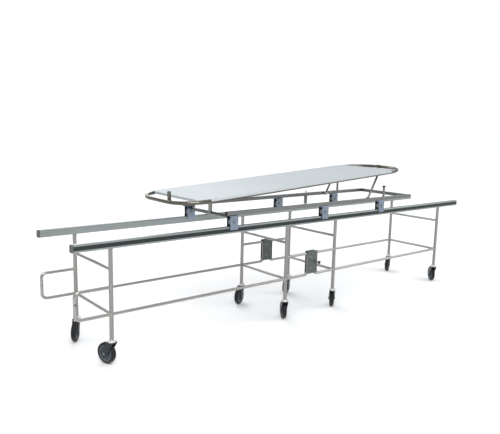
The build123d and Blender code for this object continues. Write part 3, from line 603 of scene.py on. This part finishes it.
def verts_in(made):
    """New vertices in an extrusion's result."""
    return [g for g in made["geom"] if isinstance(g, bmesh.types.BMVert)]


def round_edges(bm, edges, width, segments=2, clamp=False):
    """Bevel edges to a round section."""
    return bmesh.ops.bevel(
        bm, geom=edges, offset=width, affect="EDGES", segments=segments, profile=0.5,
        material=-1, clamp_overlap=clamp)


def circle(bm, centre, direction, radius):
    """Open circle square to a direction, as a list of edges."""
    made = bmesh.ops.create_circle(bm, segments=THIN_STEPS, radius=radius)
    bmesh.ops.transform(bm, matrix=facing(centre, direction), verts=made["verts"])
    return edges_of(made["verts"])


def run_straight(bm, loop, step):
    """Carry a loop of edges along a straight step and give the new loop."""
    verts = verts_in(bmesh.ops.extrude_edge_only(bm, edges=loop))
    bmesh.ops.translate(bm, verts=verts, vec=step)
    return edges_of(verts)


def run_round(bm, loop, centre, axis, angle, steps):
    """Carry a loop of edges round a bend and give the new loop."""
    verts = list({v for e in loop for v in e.verts})
    made = bmesh.ops.spin(
        bm, geom=verts + loop, cent=centre, axis=axis, angle=angle, steps=steps,
        use_merge=False, use_duplicate=False)
    return [g for g in made["geom_last"] if isinstance(g, bmesh.types.BMEdge)]


def closed_ends(bm):
    """Fill every open loop with a face."""
    open_edges = [e for e in bm.edges if e.is_boundary]
    if open_edges:
        bmesh.ops.edgeloop_fill(bm, edges=open_edges)


def straight_tube(bm, start, end, radius):
    """Round tube between two points, whose open ends are filled when it settles."""
    start, end = Vector(start), Vector(end)
    run_straight(bm, circle(bm, start, end - start, radius), end - start)


def spun(bm, profile, centre, axis, steps=SPIN_STEPS):
    """Turn a profile of (radius, place along the axis) about an axis through a centre."""
    verts = [bm.verts.new((r, 0, h)) for r, h in profile]
    edges = [bm.edges.new(pair) for pair in zip(verts, verts[1:])]
    before = set(bm.verts) - set(verts)
    bmesh.ops.spin(
        bm, geom=verts + edges, cent=(0, 0, 0), axis=UP, angle=2 * math.pi, steps=steps, use_merge=True)
    made = [v for v in bm.verts if v not in before]
    bmesh.ops.remove_doubles(bm, verts=made, dist=MERGE)
    made = [v for v in bm.verts if v not in before]
    bmesh.ops.transform(bm, matrix=facing(centre, axis), verts=made)
    return made


def block(bm, low, high, corner):
    """Box between two corners with every edge rounded."""
    low, high = Vector(low), Vector(high)
    verts = bmesh.ops.create_cube(bm, size=1.0)["verts"]
    bmesh.ops.scale(bm, vec=high - low, verts=verts)
    bmesh.ops.translate(bm, vec=(low + high) / 2, verts=verts)
    round_edges(bm, edges_of(verts), corner, clamp=True)


def hexagon(bm, centre, axis, flats, tall, broken=0.14):
    """Nut or bolt head, its rims broken by a share of its height."""
    radius = flats / math.sqrt(3)
    made = bmesh.ops.create_cone(
        bm, cap_ends=True, cap_tris=False, segments=6, radius1=radius, radius2=radius, depth=tall)
    rims = [e for e in edges_of(made["verts"]) if abs(e.verts[0].co.z - e.verts[1].co.z) < MERGE]
    bevelled = round_edges(bm, rims, tall * broken)
    verts = {v for f in bevelled["faces"] for v in f.verts} | {v for v in made["verts"] if v.is_valid}
    bmesh.ops.transform(bm, matrix=facing(centre, axis), verts=list(verts))


def smooth_by_angle(bm):
    """Smooth shading with sharp edges where faces meet at more than the limit."""
    for face in bm.faces:
        face.smooth = True
    for edge in bm.edges:
        edge.smooth = len(edge.link_faces) == 2 and edge.calc_face_angle(0.0) < SMOOTH_LIMIT


def settle(bm, name, body, slot, stands_for=(), turn_out=True, look=None):
    """Turn a bmesh into a finished piece that rides on a body."""
    bmesh.ops.remove_doubles(bm, verts=bm.verts, dist=MERGE / 10)
    closed_ends(bm)
    if turn_out:
        bmesh.ops.recalc_face_normals(bm, faces=bm.faces)
    smooth_by_angle(bm)
    mesh = bpy.data.meshes.new(name)
    bm.to_mesh(mesh)
    bm.free()
    mesh.materials.append(finish_for(look or slot))
    piece = bpy.data.objects.new(name, mesh)
    bpy.context.scene.collection.objects.link(piece)
    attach(piece, body)
    if stands_for:
        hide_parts(*stands_for)
    return piece


def merged_copy(node):
    """Bmesh of a solid with its loose triangles joined into whole faces."""
    bm = bmesh.new()
    bm.from_mesh(frame["nodes"][node].data)
    bmesh.ops.remove_doubles(bm, verts=bm.verts, dist=MERGE)
    bmesh.ops.dissolve_limit(
        bm, angle_limit=FLAT_LIMIT, verts=bm.verts, edges=bm.edges, use_dissolve_boundaries=False)
    return bm


def break_edges(bm, width):
    """Bevel the sharp edges of cut sheet, bar and plate."""
    sharp = [e for e in bm.edges if len(e.link_faces) == 2 and e.calc_face_angle(0.0) > SHARP_LIMIT]
    round_edges(bm, sharp, width, clamp=True)


def even_faces(piece):
    """Keep flat faces evenly shaded beside their broken edges."""
    normals = piece.modifiers.new("even faces", "WEIGHTED_NORMAL")
    normals.keep_sharp = True


def dress(node, name, edge=0.0, look=None):
    """Stand a smooth copy with broken edges in for a plain solid."""
    bm = merged_copy(node)
    if edge:
        break_edges(bm, edge)
    even_faces(settle(bm, name, body_of(node), slot_of(node), [node], turn_out=False, look=look))


# Places on the carts, and the weld bead that their tubes share


def half_track():
    """Half the distance between near and far legs."""
    return abs(pivot(f"{CORNERS[0]}_swivel").y)


def leg_places(cart):
    """Floor points of a cart's four legs."""
    return [pivot(f"{corner}_swivel") for corner in CORNERS if corner.startswith(cart)]


def saddle_bead(bm, leg_point, direction):
    """Weld bead round a tube's end that follows the leg's round side."""
    bead_middle, bead_half = 0.25, 0.75
    sizes = settings().tubework
    tube, leg, size = sizes.brace / 2, sizes.leg / 2, sizes.weld
    profile = [
        (tube + size * (bead_middle + bead_half * math.cos(a)), size * math.sin(a)) for a in arc(360, 6)]
    across = direction.cross(UP)
    for vert in spun(bm, profile, leg_point, direction, THIN_STEPS):
        offset = (vert.co - leg_point).dot(across)
        vert.co += direction * math.sqrt(max(leg**2 - offset**2, 0.0))


# Operators


class TROLLEY_OT_rails(bpy.types.Operator):
    """Channel rails with broken edges"""
    bl_idname = "trolley.rails"
    bl_label = "Rails"

    def execute(self, context):
        for cart in CARTS:
            dress(f"{cart}_rails", f"{cart}_rail_channels", settings().tubework.edge)
        return {"FINISHED"}


class TROLLEY_OT_bumpers(bpy.types.Operator):
    """Grooved bumper strips in the rails and rounded caps on the free ends"""
    bl_idname = "trolley.bumpers"
    bl_label = "Bumpers and caps"

    STRIP_DEPTH = 0.002
    CAP_ROUND = 0.007
    CAP_SEGMENTS = 4
    # Upper half of the strip's face: shares of its bulge and of its half height
    HALF_FACE = ((0.0, 1.0), (0.6, 0.86), (0.8, 0.56), (0.3, 0.50), (0.3, 0.40), (0.9, 0.34), (1.0, 0.0))

    def strip(self, bm, side, rails, bulge):
        """Extrude one strip, with a bowed face and two grooves."""
        low, high = rails
        middle = (low.z + high.z) / 2
        tall = (high.z - low.z) / 2 - settings().tubework.lip
        back = high.y - self.STRIP_DEPTH
        upper = list(self.HALF_FACE)
        outline = upper + [(out, -up) for out, up in reversed(upper[:-1])]
        points = [(high.y + bulge * out, middle + tall * up) for out, up in outline]
        points += [(back, middle - tall), (back, middle + tall)]
        face = bm.faces.new([bm.verts.new((low.x, side * y, z)) for y, z in points])
        verts = verts_in(bmesh.ops.extrude_face_region(bm, geom=[face]))
        bmesh.ops.translate(bm, vec=(high.x - low.x, 0, 0), verts=verts)

    def cap(self, bm, side, rails, outer):
        """Rounded block on a rail's free end, flat where it meets the rail."""
        low, high = rails
        inner = low.x if outer < low.x else high.x
        wide = high.y - half_track()
        middle = ((outer + inner) / 2, side * half_track(), (low.z + high.z) / 2)
        verts = bmesh.ops.create_cube(bm, size=1.0)["verts"]
        bmesh.ops.scale(bm, vec=(abs(outer - inner), 2 * wide, high.z - low.z), verts=verts)
        bmesh.ops.translate(bm, vec=middle, verts=verts)
        rounded = [e for e in edges_of(verts) if any(abs(v.co.x - inner) > MERGE for v in e.verts)]
        round_edges(bm, rounded, self.CAP_ROUND, self.CAP_SEGMENTS)

    def execute(self, context):
        for cart in CARTS:
            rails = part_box(f"{cart}_rails")
            low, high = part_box(f"{cart}_bumpers")
            outer = low.x if cart == "left" else high.x
            strips = bmesh.new()
            caps = bmesh.new()
            for side in SIDES.values():
                self.strip(strips, side, rails, high.y - rails[1].y)
                self.cap(caps, side, rails, outer)
            settle(strips, f"{cart}_bumper_strips", f"{cart}_cart", "bumper_rubber", [f"{cart}_bumpers"])
            settle(caps, f"{cart}_rail_end_caps", f"{cart}_cart", "bumper_rubber", look="end_cap")
        return {"FINISHED"}


class TROLLEY_OT_legs(bpy.types.Operator):
    """Leg tubes welded under the rails, with flanged caster sockets"""
    bl_idname = "trolley.legs"
    bl_label = "Legs and sockets"

    FLANGE = 0.003
    FLANGE_RADIUS = 0.0155
    BORE = 0.0082
    SOFT = 0.0006
    # Section of the bead under the rail, in bead sizes out from the leg and up from its top
    BEAD_SECTION = ((-1, -2), (0.2, -1.6), (0.8, -0.7), (0.95, 0), (-1, 0), (-1, -2))

    def socket(self, bm, place, bottom):
        """Flange with rounded rims, open for the caster's stem."""
        rim, tall, bore, soft = self.FLANGE_RADIUS, self.FLANGE, self.BORE, self.SOFT
        inside = settings().tubework.leg / 2 - soft
        profile = [
            (bore, 0), (rim - soft, 0), (rim, soft), (rim, tall - soft), (rim - soft, tall),
            (inside, tall), (inside, 2 * tall), (bore, 2 * tall), (bore, 0)]
        spun(bm, profile, (place.x, place.y, bottom), UP)

    def execute(self, context):
        leg = settings().tubework.leg / 2
        bead = settings().tubework.weld
        section = [(leg + bead * out, bead * up) for out, up in self.BEAD_SECTION]
        for cart in CARTS:
            low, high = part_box(f"{cart}_legs")
            tubes = bmesh.new()
            welds = bmesh.new()
            sockets = bmesh.new()
            for place in leg_places(cart):
                top = (place.x, place.y, high.z)
                straight_tube(tubes, (place.x, place.y, low.z + self.FLANGE), top, leg)
                spun(welds, section, top, UP)
                self.socket(sockets, place, low.z)
            settle(tubes, f"{cart}_leg_tubes", f"{cart}_cart", "tube_steel", [f"{cart}_legs"])
            settle(welds, f"{cart}_leg_welds", f"{cart}_cart", "tube_steel", look="weld")
            settle(sockets, f"{cart}_caster_sockets", f"{cart}_cart", "plated_steel")
        return {"FINISHED"}


class TROLLEY_OT_braces(bpy.types.Operator):
    """Cross and side tubes coped to the legs, with a weld bead round each end"""
    bl_idname = "trolley.braces"
    bl_label = "Braces and welds"

    COPE = 0.002

    def execute(self, context):
        sizes = settings().tubework
        radius = sizes.brace / 2
        sunk = sizes.leg / 2 - self.COPE
        y = half_track()
        for cart in CARTS:
            low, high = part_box(f"{cart}_brace_tubes")
            xs = sorted({round(p.x, 6) for p in leg_places(cart)})
            lower, upper = low.z + radius, high.z - radius
            ends = [((x, -y, z), (x, y, z)) for x in xs for z in (lower, upper)]
            ends += [((xs[0], side * y, lower), (xs[1], side * y, lower)) for side in SIDES.values()]
            tubes = bmesh.new()
            welds = bmesh.new()
            for start, end in ends:
                start, end = Vector(start), Vector(end)
                along = (end - start).normalized()
                straight_tube(tubes, start + along * sunk, end - along * sunk, radius)
                saddle_bead(welds, start, along)
                saddle_bead(welds, end, -along)
            replaced = [f"{cart}_brace_tubes"]
            settle(tubes, f"{cart}_braces", f"{cart}_cart", "tube_steel", replaced, look="brace")
            settle(welds, f"{cart}_brace_welds", f"{cart}_cart", "tube_steel", look="weld")
        return {"FINISHED"}


class TROLLEY_OT_docking(bpy.types.Operator):
    """Docking loops, fishplates, their bolts and the lock pins with knobs"""
    bl_idname = "trolley.docking"
    bl_label = "Docking gear"

    KNOB = 0.009
    PIN_RADIUS = 0.005
    CHAMFER = 0.001
    BOLT_PITCH = 0.080
    BOLT_HEAD = 0.005
    WASHER_RADIUS = 0.0088
    WASHER = 0.0012
    # How far out from a leg its loop is looked for, in tube radii
    LOOP_SIGHT = 4
    # Side of the waisted knob: shares of its radius and of its height
    KNOB_SIDE = (
        (0.45, 0), (0.80, 0.02), (0.97, 0.22), (1.0, 0.36), (0.93, 0.44), (0.93, 0.54),
        (1.0, 0.62), (1.0, 0.78), (0.90, 0.95), (0.70, 1.0), (0.0, 1.0))

    def loop_welds(self, cart):
        """Bead at each end of every loop on a cart."""
        low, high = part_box(f"{cart}_dock_loops")
        radius = settings().tubework.brace / 2
        welds = bmesh.new()
        places = leg_places(cart)
        middle = (min(p.x for p in places) + max(p.x for p in places)) / 2
        for place in places:
            outward = FORWARD if place.x > middle else -FORWARD
            if low.x < place.x + outward.x * radius * self.LOOP_SIGHT < high.x:
                for z in (low.z + radius, high.z - radius):
                    saddle_bead(welds, Vector((place.x, place.y, z)), outward)
        settle(welds, f"{cart}_loop_welds", f"{cart}_cart", "tube_steel", look="weld")

    def washers(self):
        """Round washer under each end of the fishplate bolts."""
        low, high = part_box("dock_bolts")
        middle = (low + high) / 2
        reach = high.y - half_track() - self.BOLT_HEAD
        r, t, soft = self.WASHER_RADIUS, self.WASHER, self.WASHER / 4
        profile = [(0, 0), (r, 0), (r, t - soft), (r - soft, t), (0, t)]
        bm = bmesh.new()
        for track in SIDES.values():
            for face in SIDES.values():
                for up in (-1, 1):
                    y = track * half_track() + face * reach
                    seat = (middle.x, y, middle.z + up * self.BOLT_PITCH / 2)
                    spun(bm, profile, seat, (0, face, 0), THIN_STEPS)
        settle(bm, "fishplate_washers", "left_cart", "plated_steel", look="bolt")

    def pin(self, side_name, side):
        """Pin and waisted knob, from the tip outwards."""
        node = f"{side_name}_dock_pin"
        low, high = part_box(node)
        middle = (low + high) / 2
        tip = low.y if side > 0 else high.y
        reach = high.y - low.y
        start = (middle.x, tip, middle.z)
        outward = (0, side, 0)
        r, c, end = self.PIN_RADIUS, self.CHAMFER, reach - self.KNOB / 2
        shaft = bmesh.new()
        spun(shaft, [(0, 0), (r - c, 0), (r, c), (r, end), (0, end)], start, outward)
        knob_radius = (high.x - low.x) / 2
        base = reach - self.KNOB
        knob_side = [(knob_radius * out, base + self.KNOB * up) for out, up in self.KNOB_SIDE]
        knob = bmesh.new()
        spun(knob, [(0, base)] + knob_side, start, outward)
        settle(shaft, f"{side_name}_lock_pin_shaft", node, "plated_steel", [node])
        settle(knob, f"{side_name}_lock_pin_knob", node, "plug_plastic")

    def execute(self, context):
        edge = settings().tubework.edge
        for cart in CARTS:
            dress(f"{cart}_dock_loops", f"{cart}_docking_loops", look="brace")
            self.loop_welds(cart)
        dress("dock_fishplates", "docking_fishplates", edge)
        dress("dock_bolts", "fishplate_bolts", edge, look="bolt")
        self.washers()
        for name, side in SIDES.items():
            self.pin(name, side)
        return {"FINISHED"}


class TROLLEY_OT_casters(bpy.types.Operator):
    """Swivel casters: pressed forks, axle bolts, tyres and ribbed hubs"""
    bl_idname = "trolley.casters"
    bl_label = "Casters"

    TREAD_ROUND = 0.009
    MOULD_LINE = 0.0006
    RIM_WIDTH = 0.026
    RIM_DEPTH = 0.008
    WEB = 0.012
    BORE = 0.0051
    AXLE_PLAY = 0.0002
    BOSS_WIDTH = 0.0348
    # Height of the plain bolt head that a washer and a nut stand in for
    HEAD_STACK = 0.005
    NUT = 0.013
    NUT_TALL = 0.00375
    NUT_MIDDLE = 0.003
    WASHER_RADIUS = 0.0080
    WASHER = 0.0012
    WASHER_SOFT = (0.0004, 0.0003)
    BOLT_REACH = 0.0085
    HEAD_RADIUS = 0.023
    HEAD_TALL = 0.014
    HEAD_ROUND = 0.004
    STEM_RADIUS = 0.008
    SOFT = 0.0008

    def spin_mirrored(self, bm, half, centre, axis):
        """Turn a closed profile whose other half is the mirror of the given one."""
        profile = half + [(r, -h) for r, h in reversed(half)]
        spun(bm, profile + [profile[0]], centre, axis)

    def tyre(self, bm, centre, axis):
        """Rounded tread with a fine mould line and a stepped sidewall, a hair above the floor."""
        sizes = settings().caster
        half, rim, outer = sizes.tyre_width / 2, sizes.rim / 2, centre.z - MERGE
        bend, step, line = self.TREAD_ROUND, self.SOFT, self.MOULD_LINE
        wall = [(rim, half - 2 * step), (rim + 3 * step, half - 2 * step), (rim + 4 * step, half)]
        tread = [(outer - bend + bend * math.sin(a), half - bend + bend * math.cos(a)) for a in arc(90, 6)]
        groove = [(outer, 2 * line), (outer - step / 2, line)]
        self.spin_mirrored(bm, wall + tread + groove, centre, axis)

    def hub(self, bm, centre, axis):
        """Rim, web and boss, with ribs on both faces."""
        sizes = settings().caster
        rim, boss = sizes.rim / 2, sizes.boss / 2
        rim_in, soft = rim - self.RIM_DEPTH, self.SOFT
        web, rim_half, boss_half = self.WEB / 2, self.RIM_WIDTH / 2, self.BOSS_WIDTH / 2
        half = [
            (rim, rim_half), (rim_in + soft, rim_half), (rim_in, rim_half - soft), (rim_in - soft, web),
            (boss + 2 * soft, web), (boss, web + 2 * soft), (boss - soft, boss_half - soft),
            (boss - 2 * soft, boss_half), (self.BORE, boss_half)]
        self.spin_mirrored(bm, half, centre, axis)
        low = (boss - 2 * soft, -2 * soft, web - soft)
        high = (rim_in + soft, 2 * soft, rim_half - 3 * soft)
        for flip in (math.pi, 0):
            face = facing(centre, axis) @ Matrix.Rotation(flip, 4, "X")
            for k in range(sizes.ribs):
                before = set(bm.verts)
                block(bm, low, high, soft)
                verts = [v for v in bm.verts if v not in before]
                spoke = Matrix.Rotation(2 * math.pi * k / sizes.ribs, 4, "Z")
                bmesh.ops.transform(bm, matrix=face @ spoke, verts=verts)

    def axle(self, bm, centre, axis, grip):
        """Bolt with a washer and a nut on each side of the fork."""
        straight_tube(bm, centre - axis * grip, centre + axis * grip, self.BORE - self.AXLE_PLAY)
        r, t = self.WASHER_RADIUS, self.WASHER
        across, up = self.WASHER_SOFT
        washer = [(0, 0), (r - across, 0), (r, up), (r, t - up), (r - across, t), (0, t)]
        for outward in (-axis, axis):
            seat = centre + outward * grip
            spun(bm, washer, seat, outward)
            hexagon(bm, seat + outward * self.NUT_MIDDLE, outward, self.NUT, self.NUT_TALL)

    def fork(self, corner, centre, axis):
        """Pressed fork cut at its crown and freed of its plain bolt, which a finer one replaces."""
        node = f"{corner}_fork"
        bm = merged_copy(node)
        along = {v: (v.co - centre).dot(axis) for v in bm.verts}
        bolt = [v for v in bm.verts if (v.co - centre - axis * along[v]).length < self.BOLT_REACH]
        grip = max(abs(along[v]) for v in bolt) - self.HEAD_STACK
        inside = set(bolt)
        island = [v for v in bolt if all(w in inside for f in v.link_faces for w in f.verts)]
        bmesh.ops.delete(bm, geom=island, context="VERTS")
        crown = settings().caster.crown + self.SOFT / 2
        bmesh.ops.bisect_plane(
            bm, geom=bm.verts[:] + bm.edges[:] + bm.faces[:], plane_co=(0, 0, crown), plane_no=UP,
            clear_outer=True)
        break_edges(bm, settings().tubework.edge)
        fork = settle(bm, f"{corner}_caster_fork", f"{corner}_caster", "fork_steel", [node], turn_out=False)
        even_faces(fork)
        axle = bmesh.new()
        self.axle(axle, centre, axis, grip)
        settle(axle, f"{corner}_axle_bolt", f"{corner}_caster", "plated_steel", look="bolt")

    def head(self, corner):
        """Bright swivel head with a race line, and the stem above it."""
        place = pivot(f"{corner}_swivel")
        base = settings().caster.crown
        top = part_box(f"{corner}_fork")[1].z - base
        r, tall, bend = self.HEAD_RADIUS, self.HEAD_TALL, self.HEAD_ROUND
        stem, soft = self.STEM_RADIUS, self.SOFT
        race = [
            (0, 0), (r - soft, 0), (r, soft), (r, 5 * soft), (r - soft, 6 * soft), (r - soft, 7 * soft),
            (r, 8 * soft)]
        shoulder = [(r - bend + bend * math.cos(a), tall - bend + bend * math.sin(a)) for a in arc(90, 4)]
        bm = bmesh.new()
        profile = race + shoulder + [(stem, tall), (stem, top), (0, top)]
        spun(bm, profile, (place.x, place.y, base), UP)
        settle(bm, f"{corner}_swivel_head", f"{corner}_caster", "plated_steel")

    def execute(self, context):
        for corner in CORNERS:
            centre = pivot(f"{corner}_spin")
            axis = Vector(joint(f"{corner}_spin")["axis"])
            tyre = bmesh.new()
            self.tyre(tyre, centre, axis)
            settle(tyre, f"{corner}_wheel_tyre", f"{corner}_wheel", "tyre_rubber", [f"{corner}_tyre"])
            hub = bmesh.new()
            self.hub(hub, centre, axis)
            settle(hub, f"{corner}_wheel_hub", f"{corner}_wheel", "hub_plastic", [f"{corner}_hub"])
            self.fork(corner, centre, axis)
            self.head(corner)
        return {"FINISHED"}


class TROLLEY_OT_carriage(bpy.types.Operator):
    """Side bars, cross bars, roller housings, rollers, pivot post, rests, prop and lock pin"""
    bl_idname = "trolley.carriage"
    bl_label = "Carriage"

    PAD = 0.010
    PAD_RADIUS = 0.013
    POST_RADIUS = 0.009
    POST_REACH = 0.002
    # Foot of the post, in bead sizes out from the post and up from the bar
    FOOT_SECTION = ((1, 0), (0.7, 0.6), (0, 1.6))
    # Skirt of the pad with a fine groove, in metres in from its side and up from its neck
    SKIRT_SECTION = ((0.001, 0), (0, 0.001), (0, 0.003), (0.0008, 0.0036), (0, 0.0042))

    BARS = {
        "carriage_side_bars": "side_bar_tubes",
        "carriage_cross_bars": "cross_bar_tubes",
        "prop_bail": "prop_bail_rod",
    }
    PLAIN = {
        "prop_pivot_bolts": "prop_shoulder_bolts",
        "carriage_lock_pin": "carriage_drop_pin",
    }
    BROKEN = {
        "bar_end_plugs": "bar_plugs",
        "roller_housings": "roller_housing_shells",
        "bed_pivot_post": "pivot_post_and_yoke",
        "bed_hinge_pin": "hinge_pin",
    }

    def rests(self):
        """Steel rest posts with soft domed pads."""
        low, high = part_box("bed_rest_posts")
        x = (low.x + high.x) / 2
        top = high.z - low.z
        neck = top - self.PAD
        bead = settings().tubework.weld
        r, p, soft = self.POST_RADIUS, self.PAD_RADIUS, self.PAD / 4
        foot = [(r + bead * out, bead * up) for out, up in self.FOOT_SECTION]
        post = [(0, 0)] + foot + [(r, neck + self.POST_REACH), (0, neck + self.POST_REACH)]
        skirt = [(0, neck)] + [(p - inset, neck + up) for inset, up in self.SKIRT_SECTION]
        dome = [(p - soft + soft * math.cos(a), top - soft + soft * math.sin(a)) for a in arc(90, 4)]
        posts = bmesh.new()
        pads = bmesh.new()
        for side in SIDES.values():
            base = (x, side * half_track(), low.z)
            spun(posts, post, base, UP)
            spun(pads, skirt + dome + [(0, top)], base, UP)
        settle(posts, "rest_post_rods", "carriage", "plated_steel", ["bed_rest_posts"], look="bolt")
        settle(pads, "rest_post_pads", "carriage", "plug_plastic")

    def execute(self, context):
        edge = settings().tubework.edge
        for node, name in self.BARS.items():
            dress(node, name, look="carriage_bar")
        for node, name in self.PLAIN.items():
            dress(node, name)
        for node, name in self.BROKEN.items():
            dress(node, name, edge)
        dress("roller_axles", "roller_axle_pins", edge, look="bolt")
        for roller in ROLLERS:
            dress(roller, f"{roller}_wheel")
        self.rests()
        return {"FINISHED"}


class TROLLEY_OT_bed(bpy.types.Operator):
    """Bed loop, sheet panel, cross members, hinge lug and pole sockets"""
    bl_idname = "trolley.bed"
    bl_label = "Bed"

    BEND_STEPS = 20

    def loop(self):
        """Closed loop of tube, run round its four corners."""
        sizes = settings().bed
        low, high = bed_box("bed_frame")
        radius = sizes.tube / 2
        tail, head, side = low.x + radius, high.x - radius, high.y - radius
        level = (low.z + high.z) / 2
        corners = [
            (head, -side, sizes.head_corner), (head, side, sizes.head_corner),
            (tail, side, sizes.tail_corner), (tail, -side, sizes.tail_corner)]
        bm = bmesh.new()
        middle = Vector(((tail + head) / 2, -side, level))
        ring = circle(bm, middle, FORWARD, radius)
        here = middle
        heading = FORWARD
        for x, y, bend in corners:
            start = Vector((x, y, level)) - heading * bend
            left = Vector((-heading.y, heading.x, 0))
            ring = run_straight(bm, ring, start - here)
            ring = run_round(bm, ring, start + left * bend, UP, math.pi / 2, self.BEND_STEPS)
            here = start + (heading + left) * bend
            heading = left
        run_straight(bm, ring, middle - here)
        bmesh.ops.remove_doubles(bm, verts=bm.verts, dist=MERGE)
        bmesh.ops.transform(bm, matrix=BED_PLACE, verts=bm.verts)
        settle(bm, "bed_loop_tube", "bed", "bed_tube_steel", ["bed_frame"])

    def execute(self, context):
        edge = settings().tubework.edge
        self.loop()
        dress("bed_panel", "bed_sheet", edge / 2)
        dress("bed_cross_members", "bed_members", edge)
        dress("bed_hinge_lug", "hinge_lug_block", edge)
        # The pole sockets share the bed tube's finish, with its painted shade.
        dress("pole_sockets", "infusion_pole_sockets", edge, look="bed_tube_steel")
        return {"FINISHED"}


class TROLLEY_OT_stage(bpy.types.Operator):
    """Pale floor, soft studio light and the camera"""
    bl_idname = "trolley.stage"
    bl_label = "Stage"

    FLOOR_SIZE = 60.0
    FLOOR_DROP = 0.0005
    # Where the floor starts to glow and where it glows fully, in metres from its middle
    FAR_FLOOR = (1.5, 6.0)
    FAR_GLOW = 0.32
    SENSOR_WIDTH = 36.0
    # Height of the view direction and colour where the reflected sky is darkest and brightest
    SKY = ((0.02, (0.30, 0.31, 0.33, 1)), (0.60, (0.95, 0.96, 0.98, 1)))
    # Place from the trolley's middle, width in metres and power in watts
    LAMPS = {
        "key light": ((-2.6, -2.8, 3.2), 2.4, 120),
        "fill light": ((3.4, -2.2, 2.2), 2.6, 50),
        "back light": ((0.6, 3.6, 2.6), 2.6, 70),
    }

    def floor(self):
        """Large plain floor under the casters that grows lighter far away."""
        bm = bmesh.new()
        bmesh.ops.create_grid(bm, x_segments=1, y_segments=1, size=self.FLOOR_SIZE / 2)
        mesh = bpy.data.meshes.new("studio_floor")
        bm.to_mesh(mesh)
        bm.free()
        finish = Finish("pale studio floor", Roughness=0.7, Emission_Strength=self.FAR_GLOW)
        colour = settings().stage.floor_colour
        clouds = finish.noise(0.5)
        finish.set("Base Color", finish.mix(clouds, shade(colour, 0.985), shade(colour, 1.015)))
        finish.set("Emission Color", finish.mix(finish.reach(*self.FAR_FLOOR), (0, 0, 0), (1, 1, 1)))
        mesh.materials.append(finish.material)
        floor = bpy.data.objects.new("studio_floor", mesh)
        floor.location.z = cad_box[0].z - self.FLOOR_DROP
        bpy.context.scene.collection.objects.link(floor)

    def lamp(self, name, place, target, size, power):
        """Square soft light that looks at a target."""
        data = bpy.data.lights.new(name, "AREA")
        data.size = size
        data.energy = power
        lamp = bpy.data.objects.new(name, data)
        lamp.location = place
        lamp.rotation_euler = (target - place).to_track_quat("-Z", "Y").to_euler()
        bpy.context.scene.collection.objects.link(lamp)

    def sky(self):
        """White to the camera, and a soft grey gradient to everything that reflects it."""
        world = bpy.data.worlds.new("studio")
        bpy.context.scene.world = world
        world.use_nodes = True
        nodes, link = world.node_tree.nodes, world.node_tree.links.new
        coords = nodes.new("ShaderNodeTexCoord")
        split = nodes.new("ShaderNodeSeparateXYZ")
        ramp = nodes.new("ShaderNodeValToRGB")
        for stop, (height, colour) in zip(ramp.color_ramp.elements, self.SKY):
            stop.position = height
            stop.color = colour
        white = add_node(nodes, "ShaderNodeBackground", Color=(1, 1, 1, 1))
        grey = nodes["Background"]
        path = nodes.new("ShaderNodeLightPath")
        mix = nodes.new("ShaderNodeMixShader")
        link(coords.outputs["Generated"], split.inputs["Vector"])
        link(split.outputs["Z"], ramp.inputs["Fac"])
        link(ramp.outputs["Color"], grey.inputs["Color"])
        link(path.outputs["Is Camera Ray"], mix.inputs["Fac"])
        link(grey.outputs["Background"], mix.inputs[1])
        link(white.outputs["Background"], mix.inputs[2])
        link(mix.outputs["Shader"], nodes["World Output"].inputs["Surface"])

    def camera(self):
        """Camera at the place and angle of the settings."""
        stage = settings().stage
        data = bpy.data.cameras.new("camera")
        data.lens = stage.lens
        data.sensor_width = self.SENSOR_WIDTH
        camera = bpy.data.objects.new("camera", data)
        bpy.context.scene.collection.objects.link(camera)
        level = Matrix.Rotation(-stage.yaw, 4, "Z") @ Matrix.Rotation(math.pi / 2 + stage.pitch, 4, "X")
        camera.matrix_world = Matrix.Translation(stage.eye) @ level @ Matrix.Rotation(stage.roll, 4, "Z")
        bpy.context.scene.camera = camera

    def execute(self, context):
        self.floor()
        self.sky()
        middle = (cad_box[0] + cad_box[1]) / 2
        for name, (offset, size, power) in self.LAMPS.items():
            self.lamp(name, middle + Vector(offset), middle, size, power)
        self.camera()
        bpy.context.scene.view_settings.view_transform = "Standard"
        return {"FINISHED"}


OPERATORS = (
    TROLLEY_OT_rails,
    TROLLEY_OT_bumpers,
    TROLLEY_OT_legs,
    TROLLEY_OT_braces,
    TROLLEY_OT_docking,
    TROLLEY_OT_casters,
    TROLLEY_OT_carriage,
    TROLLEY_OT_bed,
    TROLLEY_OT_stage,
)


class TROLLEY_PT_panel(bpy.types.Panel):
    """Trolley pieces in the sidebar"""
    bl_idname = "TROLLEY_PT_panel"
    bl_label = "Trolley"
    bl_space_type = "VIEW_3D"
    bl_region_type = "UI"
    bl_category = "Trolley"

    def draw(self, context):
        for operator in OPERATORS:
            self.layout.operator(operator.bl_idname)


CLASSES = (
    TubeworkSettings,
    CasterSettings,
    BedSettings,
    StageSettings,
    TrolleySettings,
    *OPERATORS,
    TROLLEY_PT_panel,
)


def register():
    """Register the settings, operators and panel."""
    for cls in CLASSES:
        bpy.utils.register_class(cls)
    bpy.types.Scene.trolley = bpy.props.PointerProperty(type=TrolleySettings)


def unregister():
    """Take the settings, operators and panel away again."""
    del bpy.types.Scene.trolley
    for cls in reversed(CLASSES):
        bpy.utils.unregister_class(cls)


def main():
    """Build every piece."""
    register()
    bpy.ops.trolley.rails()
    bpy.ops.trolley.bumpers()
    bpy.ops.trolley.legs()
    bpy.ops.trolley.braces()
    bpy.ops.trolley.docking()
    bpy.ops.trolley.casters()
    bpy.ops.trolley.carriage()
    bpy.ops.trolley.bed()
    bpy.ops.trolley.stage()


if __name__ == "__main__":
    main()
